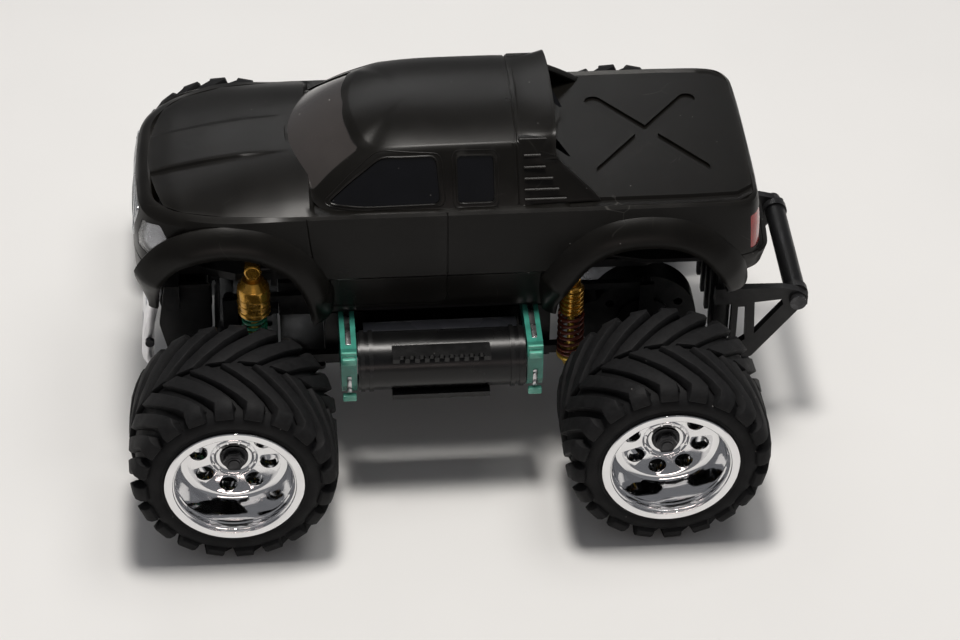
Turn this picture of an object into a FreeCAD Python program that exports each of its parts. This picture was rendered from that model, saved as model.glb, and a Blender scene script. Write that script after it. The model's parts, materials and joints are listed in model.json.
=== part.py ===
"""Small radio-controlled monster truck, as an assembly of separate pieces.

Millimetres. +X is forward, +Y is the truck's left, +Z is up. The origin is on the ground, under
the middle of the truck's overall length. Inside this file lengths along the truck are measured
from the middle of the wheelbase, and each piece's Placement moves it forward by centre_x.
"""
import FreeCAD, Part
import math
import os
import re
import Sketcher

Vec = FreeCAD.Vector

# Driving dimensions. Everything with a name here is a cell of the spreadsheet.
DIMENSIONS = {
    "centre_x": 8.75,
    "wheelbase": 120,
    "half_track": 60,
    "axle_height": 29,
    # wheels
    "tyre_half_width": 18.6,
    "tread_radius": 27.3,
    "lug_top": 28.85,
    "lug_count": 20,
    "rim_half_width": 19,
    "rim_flange_radius": 19.2,
    "rim_seat_radius": 18.3,
    "rim_hole_radius": 2.1,
    "rim_hole_circle": 9.9,
    "rim_hole_count": 8,
    "axle_radius": 1.45,
    "hub_bore_radius": 1.52,
    # suspension
    "arm_pivot_x": 14,
    "arm_end_x": 54,
    "arm_height": 27,
    "arm_side": 22,
    "link_height": 44,
    "link_side": 15.5,
    "link_pivot_x": 20,
    "pin_radius": 0.95,
    "eye_bore": 1.02,
    "front_shock_x": 53,
    "front_shock_side": 25,
    "rear_shock_x": -37,
    "rear_shock_side": 27.6,
    # steering
    "kingpin_side": 50,
    "steer_arm_length": 9,
    "tie_rod_height": 31.9,
    # drive
    "gear_module": 0.5,
    "spur_teeth": 44,
    "pinion_teeth": 12,
        # chassis
    "tub_front": 33,
    "tub_rear": -32,
    "tub_half_width": 19.6,
    "tub_floor": 22,
    "tub_top": 40.5,
    "deck_floor": 50,
    "deck_thickness": 2.6,
    # battery boxes
    "cell_radius": 5.2,
    "cell_length": 44.5,
    "cell_rear": -21.1,
    "outer_cell_side": 42,
    "outer_cell_height": 41,
    "inner_cell_side": 30,
    "inner_cell_height": 38.6,
    "tank_radius": 8.2,
    "tank_wall": 1.3,
    "tank_front": 24.6,
    "tank_rear": -22.2,
    # shell
    "shell_wall": 1.5,
    "roof_height": 99.6,
    "crown_height": 103,
    "arch_radius": 22.6,
    "arch_height": 53,
    "flare_side": 38.6,
    "guard_tube_x": -103,
    "guard_tube_height": 41.8,
}

doc = FreeCAD.newDocument("MonsterTruck")
sheet = doc.addObject("Spreadsheet::Sheet", "Sizes")
for row, (alias, value) in enumerate(DIMENSIONS.items(), 1):
    sheet.set(f"A{row}", alias.replace("_", " "))
    sheet.set(f"B{row}", str(value))
    sheet.setAlias(f"B{row}", alias)
doc.recompute()

nodes = []


# ---------------------------------------------------------------- binding sizes to the sheet

def linked(formula):
    """A number or a formula in the sheet's aliases, as a FreeCAD expression."""
    return re.sub(r"[a-z_][a-z_0-9]*", lambda m: "Sizes." * (m[0] in DIMENSIONS) + m[0], str(formula))


def amount(formula):
    """The present value of a formula in the sheet's aliases."""
    found = str(formula)
    for alias in sorted(DIMENSIONS, key=len, reverse=True):
        found = re.sub(rf"\b{alias}\b", str(sheet.get(alias)), found)
    total = FreeCAD.Units.Quantity(found)
    return total.Value


def bind(thing, prop, formula):
    thing.setExpression(prop, linked(formula))


def stand_at(thing, place):
    for letter, formula in zip("xyz", place):
        bind(thing, f"Placement.Base.{letter}", formula)
    return thing


def keep(thing, label, place=None):
    """Name a finished sub-part, put it in the truck and list it for writing."""
    thing.Label = label
    stand_at(thing, place or ("centre_x", 0, 0))
    nodes.append(thing)
    return thing


# ---------------------------------------------------------------- simple solids

TURNS = {
    "X": FreeCAD.Rotation(Vec(0, 1, 0), 90),
    "Y": FreeCAD.Rotation(Vec(1, 0, 0), -90),
    "Z": FreeCAD.Rotation(),
}


def block(name, x, y, z):
    """A box between two values on each axis."""
    made = doc.addObject("Part::Box", name)
    for prop, (low, high) in zip(("Length", "Width", "Height"), (x, y, z)):
        bind(made, prop, f"({high}) - ({low})")
    return stand_at(made, (x[0], y[0], z[0]))


def span(side, near, far):
    """The low and high Y of a stretch given as distances from the middle, on the left (1) or right (-1)."""
    ends = (f"{side} * ({near})", f"{side} * ({far})")
    return ends if side > 0 else ends[::-1]


def rod(name, axis, start, length, radius):
    """A cylinder from start along +axis."""
    made = doc.addObject("Part::Cylinder", name)
    made.Placement = FreeCAD.Placement(Vec(), TURNS[axis])
    bind(made, "Radius", radius)
    bind(made, "Height", length)
    return stand_at(made, start)


def taper(name, axis, start, length, radius, end_radius):
    made = doc.addObject("Part::Cone", name)
    made.Placement = FreeCAD.Placement(Vec(), TURNS[axis])
    bind(made, "Radius1", radius)
    bind(made, "Radius2", end_radius)
    bind(made, "Height", length)
    return stand_at(made, start)


def join(name, pieces):
    made = doc.addObject("Part::MultiFuse", name)
    made.Shapes = pieces
    return made


def cut(name, base, tools):
    made = doc.addObject("Part::Cut", name)
    made.Base = base
    made.Tool = tools[0] if len(tools) == 1 else join(name + "_tools", tools)
    return made


def shared(name, first, second):
    made = doc.addObject("Part::Common", name)
    made.Base = first
    made.Tool = second
    return made


def other_side(name, source):
    made = doc.addObject("Part::Mirroring", name)
    made.Source = source
    made.Normal = Vec(0, 1, 0)
    return made


def group(name, pieces):
    made = doc.addObject("Part::Compound", name)
    made.Links = pieces
    return made


def both_sides(name, source):
    return group(name, [source, other_side(name + "_right", source)])


# ---------------------------------------------------------------- sketches

PLANES = {
    "XY": FreeCAD.Rotation(),
    "XZ": FreeCAD.Rotation(Vec(1, 0, 0), 90),
    "YZ": FreeCAD.Rotation(Vec(1, 1, 1), 120),
}
NORMALS = {"XY": Vec(0, 0, 1), "XZ": Vec(0, 1, 0), "YZ": Vec(1, 0, 0)}


def draw_outline(sketch, points):
    """A closed outline of straight edges, each corner held by its two distances."""
    first = sketch.GeometryCount
    count = len(points)
    spots = [Vec(amount(a), amount(b), 0) for a, b in points]
    for i in range(count):
        sketch.addGeometry(Part.LineSegment(spots[i], spots[(i + 1) % count]), False)
    for i in range(count):
        sketch.addConstraint(Sketcher.Constraint("Coincident", first + i, 2, first + (i + 1) % count, 1))
    for i, corner in enumerate(points):
        for kind, formula, value in zip(("DistanceX", "DistanceY"), corner, spots[i]):
            number = sketch.addConstraint(Sketcher.Constraint(kind, -1, 1, first + i, 1, value))
            if isinstance(formula, str):
                bind(sketch, f"Constraints[{number}]", formula)


def draw_circle(sketch, centre, radius):
    spot = Vec(amount(centre[0]), amount(centre[1]), 0)
    number = sketch.addGeometry(Part.Circle(spot, Vec(0, 0, 1), amount(radius)), False)
    for kind, formula, value in zip(("DistanceX", "DistanceY"), centre, spot):
        made = sketch.addConstraint(Sketcher.Constraint(kind, -1, 1, number, 3, value))
        bind(sketch, f"Constraints[{made}]", formula)
    made = sketch.addConstraint(Sketcher.Constraint("Radius", number, amount(radius)))
    bind(sketch, f"Constraints[{made}]", radius)


def free_sketch(name, plane, level, points):
    sketch = doc.addObject("Sketcher::SketchObject", name)
    sketch.Placement = FreeCAD.Placement(NORMALS[plane] * amount(level), PLANES[plane])
    draw_outline(sketch, points)
    return sketch


def prism(name, plane, points, low, high):
    """An outline carried square to its plane, from one level to another."""
    made = doc.addObject("Part::Extrusion", name)
    made.Base = free_sketch(name + "_outline", plane, low, points)
    made.DirMode = "Custom"
    made.Dir = NORMALS[plane]
    made.Solid = True
    bind(made, "LengthFwd", f"({high}) - ({low})")
    return made


def loft(name, plane, sections):
    """Flat-sided skin through outlines, given as {level: points}."""
    made = doc.addObject("Part::Loft", name)
    made.Sections = [free_sketch(f"{name}_{i}", plane, level, points)
                     for i, (level, points) in enumerate(sections.items())]
    made.Solid = True
    made.Ruled = True
    return made


def new_body(name):
    return doc.addObject("PartDesign::Body", name)


def body_plane(body, role):
    return [(next(f for f in body.Origin.OriginFeatures if f.Role == role), "")]


def body_sketch(body, name, role, offset=None):
    sketch = body.newObject("Sketcher::SketchObject", name)
    sketch.AttachmentSupport = body_plane(body, role)
    sketch.MapMode = "FlatFace"
    if offset:
        sketch.AttachmentOffset = offset
    return sketch


def turned(name, points):
    """A body turned about its own Y axis from (radius, along the axis) corners."""
    body = new_body(name)
    sketch = body_sketch(body, name + "_section", "XY_Plane")
    draw_outline(sketch, points)
    spin = body.newObject("PartDesign::Revolution", name + "_spin")
    spin.Profile = sketch
    spin.ReferenceAxis = (sketch, ["V_Axis"])
    spin.Angle = 360
    doc.recompute()
    return body


def around(body, name, feature, count):
    """Repeat a body's feature evenly about the body's Y axis."""
    pattern = body.newObject("PartDesign::PolarPattern", name)
    pattern.Originals = [feature]
    pattern.Axis = (next(f for f in body.Origin.OriginFeatures if f.Role == "Y_Axis"), [""])
    pattern.Angle = 360
    bind(pattern, "Occurrences", count)
    body.Tip = pattern
    doc.recompute()
    return pattern


# ---------------------------------------------------------------- wheels

CORNERS = {
    "front_left": ("centre_x + wheelbase / 2", 1),
    "front_right": ("centre_x + wheelbase / 2", -1),
    "rear_left": ("centre_x - wheelbase / 2", 1),
    "rear_right": ("centre_x - wheelbase / 2", -1),
}


def set_wheel(piece, label, corner):
    """Put a wheel piece at its corner, turned so that its own +Y points out of the truck."""
    x, side = CORNERS[corner]
    if side < 0:
        piece.Placement = FreeCAD.Placement(Vec(), FreeCAD.Rotation(Vec(0, 0, 1), 180))
    keep(piece, f"{label}_{corner}", (x, f"{side} * half_track", "axle_height"))


def add_lugs(body, name, outline, turn):
    """Slanted tread bars on one half of the tyre."""
    offset = FreeCAD.Placement(Vec(), FreeCAD.Rotation(Vec(0, 1, 0), turn))
    offset.Base = offset.Rotation.multVec(Vec(0, 0, dim("tread_radius") - 0.5))
    sketch = body_sketch(body, name, "XY_Plane", offset)
    draw_outline(sketch, outline)
    lug = body.newObject("PartDesign::Pad", name + "_bar")
    lug.Profile = sketch
    bind(lug, "Length", "lug_top - tread_radius + 0.5")
    doc.recompute()
    around(body, name + "_ring", lug, "lug_count")


def dim(alias):
    return float(sheet.get(alias))


def tyre(corner):
    bead = "rim_seat_radius + 0.05"
    side = "tyre_half_width"
    body = turned("tyre_" + corner, [
        (bead, f"-({side}) + 0.5"), ("rim_seat_radius + 5.5", f"-({side})"),
        ("tread_radius - 0.6", f"-({side}) + 1.6"), ("tread_radius", "-13"), ("tread_radius", "13"),
        ("tread_radius - 0.6", f"{side} - 1.6"), ("rim_seat_radius + 5.5", side), (bead, f"{side} - 0.5"),
        (bead, f"{side} - 2.6"), ("rim_seat_radius + 5", f"{side} - 2.4"), ("tread_radius - 2", "12"),
        ("tread_radius - 2", "-12"), ("rim_seat_radius + 5", f"-({side}) + 2.4"), (bead, f"-({side}) + 2.6"),
    ])
    name = "lugs_" + corner
    add_lugs(body, name + "_out", [(-1.6, 0.3), (1.2, 0.3), (3.2, 17.4), (0.4, 17.4)], 0)
    add_lugs(body, name + "_in", [(-1.6, -0.3), (1.2, -0.3), (3.2, -17.4), (0.4, -17.4)],
             180 / dim("lug_count"))
    set_wheel(body, "tyre", corner)


def rim(corner):
    """Deep-dish rim: a barrel, a disc with round holes and a long hub."""
    face = "rim_half_width"
    body = turned("rim_" + corner, [
        ("hub_bore_radius", -4), (3.3, -4), (3.3, 4.9), (13.6, 4.9), ("rim_seat_radius - 1.3", 2),
        ("rim_seat_radius - 1.3", f"-({face})"), ("rim_flange_radius", f"-({face})"),
        ("rim_flange_radius", f"-({face}) + 0.8"), ("rim_seat_radius", f"-({face}) + 0.9"),
        ("rim_seat_radius", f"{face} - 0.9"), ("rim_flange_radius", f"{face} - 0.8"),
        ("rim_flange_radius", face), (16.7, face), (16.5, 18), (15.7, 17.6), (14.9, 6.4), (4.6, 6.4),
        (4.4, 7.1), ("hub_bore_radius", 7.1),
    ])
    sketch = body_sketch(body, "rim_hole_" + corner, "XZ_Plane")
    draw_circle(sketch, ("rim_hole_circle", 0), "rim_hole_radius")
    hole = body.newObject("PartDesign::Pocket", "rim_pocket_" + corner)
    hole.Profile = sketch
    hole.SideType = "Symmetric"
    hole.Length = 30
    doc.recompute()
    around(body, "rim_holes_" + corner, hole, "rim_hole_count")
    set_wheel(body, "rim", corner)


def hexagon(across_corners, centre=(0, 0)):
    half = across_corners / 2
    return [(centre[0] + half * math.cos(math.radians(60 * i)),
             centre[1] + half * math.sin(math.radians(60 * i)))
            for i in range(6)]


def wheel_nut(corner):
    body = new_body("nut_" + corner)
    sketch = body_sketch(body, "nut_outline_" + corner, "XZ_Plane",
                         FreeCAD.Placement(Vec(0, 0, -7.2), FreeCAD.Rotation()))
    draw_outline(sketch, hexagon(6))
    draw_circle(sketch, (0, 0), "hub_bore_radius")
    pad = body.newObject("PartDesign::Pad", "nut_pad_" + corner)
    pad.Profile = sketch
    pad.Length = 2.4
    pad.Reversed = True
    doc.recompute()
    set_wheel(body, "wheel_nut", corner)


def wheels():
    for corner in CORNERS:
        tyre(corner)
        rim(corner)
        wheel_nut(corner)


# ---------------------------------------------------------------- chassis

def chassis_tub():
    """Open tub with battery trays, arm pins, link posts and the housing of the power switch."""
    wall = 1.6
    outer = block("tub_outer", ("tub_rear", "tub_front"), ("-tub_half_width", "tub_half_width"),
                  ("tub_floor", "tub_top"))
    hollow = block("tub_hollow", (f"tub_rear + {wall}", f"tub_front - {wall}"),
                   (f"-tub_half_width + {wall}", f"tub_half_width - {wall}"),
                   (f"tub_floor + {wall}", "tub_top + 1"))
    pieces = [cut("tub_box", outer, [hollow])]
    for x in (-27, 28):
        for y in (-9, 9):
            pieces.append(block(f"tub_pillar_{x}_{y}", (x - 2, x + 2), (y - 1.5, y + 1.5),
                                ("tub_floor + 0.5", "deck_floor")))
    for side in (-1, 1):
        pieces.append(block(f"tray_{side}", (-22.55, 24.95), span(side, 18.5, 34), (31.2, 32.9)))
        pieces.append(block(f"skid_{side}", (-26, 27), span(side, 13, 15),
                            ("tub_floor - 0.8", "tub_floor + 0.5")))
        for x in (-17, 0, 17):
            pieces.append(block(f"tray_rib_{side}_{x}", (x, x + 2), span(side, 18.5, 23.6), (32, "tub_top")))
        for end in (-1, 1):
            tag = f"{side}_{end}"
            start = "arm_side - 3.2" if side > 0 else "-arm_side - 1.7"
            pieces.append(rod("arm_pin_" + tag, "Y", (f"{end} * arm_pivot_x", start, "arm_height"), 4.9,
                              "pin_radius"))
            post_x = (f"{end} * link_pivot_x - 2.4", f"{end} * link_pivot_x + 2.4")
            pieces.append(block("link_post_" + tag, post_x, span(side, 12.4, 14.2), ("tub_floor + 0.5", 46)))
            start = 13.8 if side > 0 else -17
            pieces.append(rod("link_pin_" + tag, "Y", (f"{end} * link_pivot_x", start, "link_height"), 3.2,
                              "pin_radius"))
    housing = block("switch_housing", (-4, 8), (-5.5, 5.5), ("tub_floor + 1", 27))
    slot = block("switch_slot", (-1.6, 5.6), (-2.1, 2.1), ("tub_floor - 2", 28))
    keep(cut("tub_solid", join("tub_mass", pieces + [housing]), [slot]), "chassis_tub")


def upper_deck():
    outline = [(-83, -9), (-83, 9), (-70, 9), (-60, 15), (58, 15), (68, 11), (80, 11), (80, -11), (68, -11),
               (58, -15), (-60, -15), (-70, -9)]
    plate = prism("deck_plate", "XY", outline, "deck_floor", "deck_floor + deck_thickness")
    windows = [block(f"deck_window_{x}", (x, x + 16), (-8, 8), (40, 70)) for x in (-68, 34)]
    walls = [block(f"deck_rail_{side}", (-29, 45), sorted((side * 13.4, side * 15)), ("deck_floor + 1", 57))
             for side in (-1, 1)]
    nose = block("deck_nose", (74, 78), (-20, 20), (44, 52.6))
    tail = block("deck_tail", (-84, -80), (-20.85, 20.85), (40, 52.6))
    deck = join("deck_solid", [cut("deck_open", plate, windows)] + walls + [nose, tail])
    keep(deck, "upper_deck")


def shock_tower(end, x, side, height, name):
    """An upright plate across the deck, with a pin for each shock's upper eye."""
    near = x - end * 6.6
    outline = [(-10, 52.6), (10, 52.6), (f"{side} + 2.4", height - 4.4), (f"{side} + 2.4", height + 3),
               (f"{side} - 4", height + 3), (8, 60), (-8, 60), (f"-({side}) + 4", height + 3),
               (f"-({side}) - 2.4", height + 3), (f"-({side}) - 2.4", height - 4.4)]
    plate = prism(name + "_plate", "YZ", outline, min(near, near + end * 1.6), max(near, near + end * 1.6))
    start = near + end * 1.6 if end > 0 else near - 1.6 - 7
    pins = [rod(f"{name}_pin_{sign}", "X", (start, f"{sign} * ({side})", height), 7, "pin_radius")
            for sign in (-1, 1)]
    return join(name + "_solid", [plate] + pins)


def shock_towers():
    front = shock_tower(1, dim("front_shock_x"), "front_shock_side", 62, "front_tower")
    rear = shock_tower(-1, dim("rear_shock_x"), "rear_shock_side", 57, "rear_tower")
    keep(front, "front_shock_tower")
    keep(rear, "rear_shock_tower")


def body_posts():
    """Four round posts that the shell drops over, each with a cross hole for a clip."""
    posts = []
    for i, (x, y, top) in enumerate(((66, 8, 84.4), (66, -8, 84.4), (-74, 7, 83.6), (-74, -7, 83.6))):
        post = rod(f"post_{i}", "Z", (x, y, "deck_floor + deck_thickness"),
                   f"{top} - deck_floor - deck_thickness", 1.8)
        hole = rod(f"post_hole_{i}", "Y", (x, y - 3, top - 3), 6, 0.6)
        posts.append(cut(f"post_drilled_{i}", post, [hole]))
    keep(group("posts", posts), "body_posts")


def electronics():
    board = block("board_plate", (-24, 26), (-12, 12), (54.2, 55.4))
    chips = [block(f"chip_{i}", (x, x + size), (y, y + size), (55.3, 57.2))
             for i, (x, y, size) in enumerate(((-18, -8, 7), (-4, -3, 9), (12, -9, 6), (14, 3, 5)))]
    legs = [rod(f"standoff_{x}_{y}", "Z", (x, y, "deck_floor + deck_thickness"), 1.7, 1.3)
            for x in (-21, 23) for y in (-9, 9)]
    keep(join("receiver", [board] + chips + legs), "receiver_board")
    knob = join("switch_knob_solid", [block("switch_stem", (-1, 2), (-1.4, 1.4), ("tub_floor - 0.5", 26.4)),
                                      block("switch_grip", (-1, 2), (-1.8, 1.8), (24.6, 26.4))])
    keep(knob, "power_switch")


def batteries():
    cells = []
    for side, word in ((1, "left"), (-1, "right")):
        for place in ("outer", "inner"):
            start = ("cell_rear", f"{side} * {place}_cell_side", f"{place}_cell_height")
            can = rod(f"cell_{word}_{place}", "X", start, "cell_length - 0.9", "cell_radius")
            tip = ("cell_rear + cell_length - 0.95", start[1], start[2])
            cells.append(join(f"cell_{word}_{place}_whole",
                              [can, rod(f"tip_{word}_{place}", "X", tip, 0.95, 1.9)]))
    keep(group("cells", cells), "battery_cells")
    boards = []
    strips = []
    for word, low, high, face in (("front", 25, 29.4, 25), ("rear", -27, -22.6, -22.6)):
        outline = [(22.5, 33.2), (36, 33.2), (47, 34.5), (49, 38), (49, 46), (46.5, 49.4), (22.5, 49.4)]
        plate = prism(f"terminal_{word}", "YZ", outline, low, high)
        pocket = block(f"terminal_pocket_{word}", (low + 1.5, high - 1.5), (26, 46), (36, 47.5))
        left = cut(f"terminal_{word}_open", plate, [pocket])
        boards += [left, other_side(f"terminal_{word}_right", left)]
        inward = -1 if word == "front" else 1
        flat = sorted((face + inward * 0.02, face + inward * 0.42))
        strip = prism(f"strip_{word}", "YZ", [(28, 36), (44, 38), (44, 44), (28, 42)], *flat)
        strips += [strip, other_side(f"strip_{word}_right", strip)]
    keep(group("boards", boards), "terminal_boards")
    keep(group("strips", strips), "battery_contacts")


def battery_cover(side, word):
    """A round tank that clips over the outer cell, with step plates above and below."""
    y = f"{side} * outer_cell_side"
    z = "outer_cell_height"
    length = "tank_front - tank_rear"
    name = "cover_" + word
    outer = [rod(name + "_tank", "X", ("tank_rear", y, z), length, "tank_radius")]
    for i, x in enumerate(("tank_rear + 0.6", "tank_rear + 3", "tank_front - 1.8", "tank_front - 4.2")):
        outer.append(rod(f"{name}_ring_{i}", "X", (x, y, z), 1.2, "tank_radius + 0.45"))
    outward = [f"{side} * (outer_cell_side + {d})" for d in (3, 9.2)]
    lower = [f"{side} * (outer_cell_side + {d})" for d in (1, 7.8)]
    order = (lambda pair: pair) if side > 0 else (lambda pair: pair[::-1])
    upper_step = block(name + "_upper_step", (-12.2, 15.2), order(outward), (47.3, 48.7))
    lower_step = block(name + "_lower_step", (-12.2, 15.2), order(lower), (33.0, 34.6))
    bore = rod(name + "_bore", "X", ("tank_rear - 1", y, z), f"{length} + 2", "tank_radius - tank_wall")
    mouth = prism(name + "_mouth", "YZ", [(0, 0), (-16 * side, 21.2), (-16 * side, -21.2)], "tank_rear - 1",
                  "tank_front + 1")
    mouth.Base.Placement.Base = Vec(dim("tank_rear") - 1, side * dim("outer_cell_side"),
                                    dim("outer_cell_height"))
    scallops = [rod(f"{name}_scallop_{i}", "Z", (-9.5 + 2.75 * i, f"{side} * (outer_cell_side + 8.6)", 46),
                    4, 0.95)
                for i in range(9)]
    solid = cut(name + "_solid", join(name + "_mass", outer + [upper_step, lower_step]),
                [bore, mouth] + scallops)
    keep(solid, "battery_cover_" + word)


# ---------------------------------------------------------------- front axle and steering

def front_axle():
    x0 = "wheelbase / 2"
    beam = block("beam", (f"{x0} - 3", f"{x0} + 3"), (-45.6, 45.6), (26, 32))
    pieces = [beam]
    for side in (-1, 1):
        tag = "left" if side > 0 else "right"
        web = span(side, 43, 45.8)
        reach = span(side, 43, 53)
        pieces.append(block(f"hub_web_{tag}", (f"{x0} - 3", f"{x0} + 3"), web, (23.2, 34.8)))
        pieces.append(block(f"hub_top_{tag}", (f"{x0} - 3", f"{x0} + 3"), reach, (32.6, 34.8)))
        pieces.append(block(f"hub_foot_{tag}", (f"{x0} - 3", f"{x0} + 3"), reach, (23.2, 25.4)))
        pieces.append(block(f"arm_ear_{tag}", ("arm_end_x - 2.5", 58), sorted((side * 18.8, side * 20.2)),
                            (24.8, 29.2)))
        start = "arm_side - 2.2" if side > 0 else "-arm_side - 1.7"
        pieces.append(rod(f"arm_end_pin_{tag}", "Y", ("arm_end_x", start, "arm_height"), 3.9, "pin_radius"))
        pieces.append(block(f"shock_post_{tag}", (57.4, 60), sorted((side * 20.8, side * 22.6)), (31.5, 37)))
        pieces.append(block(f"shock_bracket_{tag}", (51, 58), sorted((side * 20.8, side * 22.6)), (33.6, 37)))
        start = 22.4 if side > 0 else -26.6
        pieces.append(rod(f"shock_pin_{tag}", "Y", ("front_shock_x", start, 35.4), 4.2, 0.8))
        pieces.append(block(f"link_end_post_{tag}", (57.8, 62), span(side, 16.8, 18.3), (31.5, 45.4)))
        start = 14.2 if side > 0 else -17.2
        pieces.append(rod(f"link_end_pin_{tag}", "Y", (60, start, "link_height"), 3, "pin_radius"))
        pieces.append(block(f"servo_post_{tag}", (57.2, 60), sorted((side * 8, side * 11)), (31.5, 36)))
    pieces.append(block("servo_shelf", (46.1, 59), (-11, 11), (34.2, 36)))
    holes = [rod(f"kingpin_hole_{side}", "Z", (60, f"{side} * kingpin_side", 22), 14, 0.98)
             for side in (-1, 1)]
    keep(cut("front_beam", join("front_beam_mass", pieces), holes), "front_axle_beam")
    pins = []
    for side in (-1, 1):
        shaft = rod(f"kingpin_{side}", "Z", (60, f"{side} * kingpin_side", 23.2), 12.4, 0.95)
        head = rod(f"kingpin_head_{side}", "Z", (60, f"{side} * kingpin_side", 34.82), 1.2, 1.9)
        pins.append(join(f"kingpin_whole_{side}", [shaft, head]))
    keep(group("kingpin_pair", pins), "kingpins")


def knuckle(side, word):
    y = f"{side} * kingpin_side"
    name = "knuckle_" + word
    core = rod(name + "_core", "Z", (60, y, 25.6), 6.8, 3)
    arm_y = (f"{y} - 1.4", f"{y} + 1.4")
    arm = block(name + "_arm", ("60 - steer_arm_length - 1.4", 60), arm_y, (27.4, 30.4))
    stud = rod(name + "_stud", "Z", ("60 - steer_arm_length", y, 30), 3.4, 0.8)
    flat = block(name + "_flange", (57.4, 62.6), span(side, "kingpin_side + 1", "kingpin_side + 3.5"),
                 (26, 32))
    start = "kingpin_side + 2" if side > 0 else "-(half_track + 9.8)"
    axle = rod(name + "_axle", "Y", (60, start, "axle_height"), "half_track + 9.8 - kingpin_side - 2",
               "axle_radius")
    spacer_start = 53 if side > 0 else -55.8
    spacer = rod(name + "_spacer", "Y", (60, spacer_start, "axle_height"), 2.8, 2.4)
    hole = rod(name + "_hole", "Z", (60, y, 20), 20, 1.02)
    keep(cut(name + "_solid", join(name + "_mass", [core, arm, stud, flat, axle, spacer]), [hole]), name)


def steering():
    for side, word in ((1, "left"), (-1, "right")):
        knuckle(side, word)
    x = "60 - steer_arm_length"
    bar = rod("tie_bar", "Y", (x, "-kingpin_side + 2", "tie_rod_height"), "2 * kingpin_side - 4", 0.9)
    rings = [rod(f"tie_ring_{side}", "Z", (x, f"{side} * kingpin_side", "tie_rod_height - 0.8"), 1.6, 2.6)
             for side in (-1, 1)]
    holes = [rod(f"tie_hole_{side}", "Z", (x, f"{side} * kingpin_side", 30), 4, 1.5) for side in (-1, 1)]
    peg = rod("tie_peg", "Z", (x, 0, 29.3), 2.2, 0.75)
    block_mid = rod("tie_boss", "Z", (x, 0, 31), 1.8, 1.8)
    keep(join("tie_solid", [cut("tie_drilled", join("tie_mass", [bar] + rings), holes), peg, block_mid]),
         "tie_rod")
    case = block("servo_box", (36, 46), (-11, 11), (33.6, 45.4))
    ears = [block(f"servo_ear_{side}", (38, 44), sorted((side * 10.8, side * 13.6)), (40, 41.6))
            for side in (-1, 1)]
    lug = rod("servo_boss", "Z", (42, 0, 32.6), 1.2, 3)
    bore = rod("servo_bore", "Z", (42, 0, 30), 8, 1.05)
    keep(cut("servo_solid", join("servo_mass", [case, lug] + ears), [bore]), "steering_servo")
    hub = rod("horn_hub", "Z", (42, 0, 29.4), 1.9, 2.5)
    shaft = rod("horn_shaft", "Z", (42, 0, 29.4), 8, 1)
    blade = block("horn_blade", (42, 54), (-2.1, 2.1), (29.4, 30.7))
    slot = block("horn_slot", (49.2, 52.7), (-1.1, 1.1), (28, 32))
    keep(cut("horn_solid", join("horn_mass", [hub, shaft, blade]), [slot]), "servo_arm")


def arm_pair(name, label, start, end, side, height, radius, half_thick):
    """Two straight links, one each side, with an eye at each end."""
    low = f"{side} - {half_thick}"
    span = (low, f"{side} + {half_thick}")
    bar_end = radius * 0.6
    bar = block(name + "_bar", (start, end), span, (f"{height} - {bar_end}", f"{height} + {bar_end}"))
    eyes = [rod(f"{name}_eye_{i}", "Y", (x, low, height), 2 * half_thick, radius)
            for i, x in enumerate((start, end))]
    bores = [rod(f"{name}_bore_{i}", "Y", (x, f"{side} - 4", height), 8, "eye_bore")
             for i, x in enumerate((start, end))]
    left = cut(name + "_left", join(name + "_mass", [bar] + eyes), bores)
    keep(both_sides(name + "_pair", left), label)


def links():
    arm_pair("front_arm", "front_lower_arms", "arm_pivot_x", "arm_end_x", "arm_side", "arm_height", 2.3, 1.3)
    arm_pair("rear_arm", "rear_lower_arms", "-arm_end_x", "-arm_pivot_x", "arm_side", "arm_height", 2.3, 1.3)
    arm_pair("front_link", "front_upper_links", "link_pivot_x", "60", "link_side", "link_height", 1.7, 1)
    arm_pair("rear_link", "rear_upper_links", "-60", "-link_pivot_x", "link_side", "link_height", 1.7, 1)


# ---------------------------------------------------------------- rear axle and drive

def gear_outline(teeth, backlash):
    """Involute tooth outline, as (x, z) corners about the gear's centre."""
    module = dim("gear_module")
    pitch = module * teeth / 2
    base = pitch * math.cos(math.radians(20))
    tip = pitch + 0.9 * module
    root = max(pitch - 1.25 * module, 0.4)
    half = math.pi / (2 * teeth) - backlash / (2 * pitch)
    pitch_roll = math.tan(math.radians(20)) - math.radians(20)
    corners = []
    for tooth in range(teeth):
        middle = 2 * math.pi * tooth / teeth
        flank = []
        for step in range(4):
            radius = max(base, root) + (tip - max(base, root)) * step / 3
            pressure = math.acos(base / radius)
            angle = half + pitch_roll - (math.tan(pressure) - pressure)
            flank.append((radius, angle))
        rise = [(root, -flank[0][1])] + [(r, -a) for r, a in flank]
        fall = [(r, a) for r, a in reversed(flank)] + [(root, flank[0][1])]
        corners += [(r * math.cos(middle + a), r * math.sin(middle + a)) for r, a in rise + fall]
    return corners


def gear(name, teeth, centre_x, low, high, core, turn):
    """A toothed wheel about an axis along Y, joined with its collar or shaft."""
    points = [Vec(x, 0, z) for x, z in gear_outline(int(dim(teeth)), 0.12)]
    solid = Part.Face(Part.makePolygon(points + points[:1])).extrude(Vec(0, high - low, 0))
    solid.rotate(Vec(), Vec(0, 1, 0), turn)
    toothed = doc.addObject("Part::Feature", name + "_teeth")
    toothed.Shape = solid
    toothed.Placement = FreeCAD.Placement(Vec(centre_x, low, dim("axle_height")), toothed.Placement.Rotation)
    return join(name + "_whole", [toothed, core])


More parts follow.
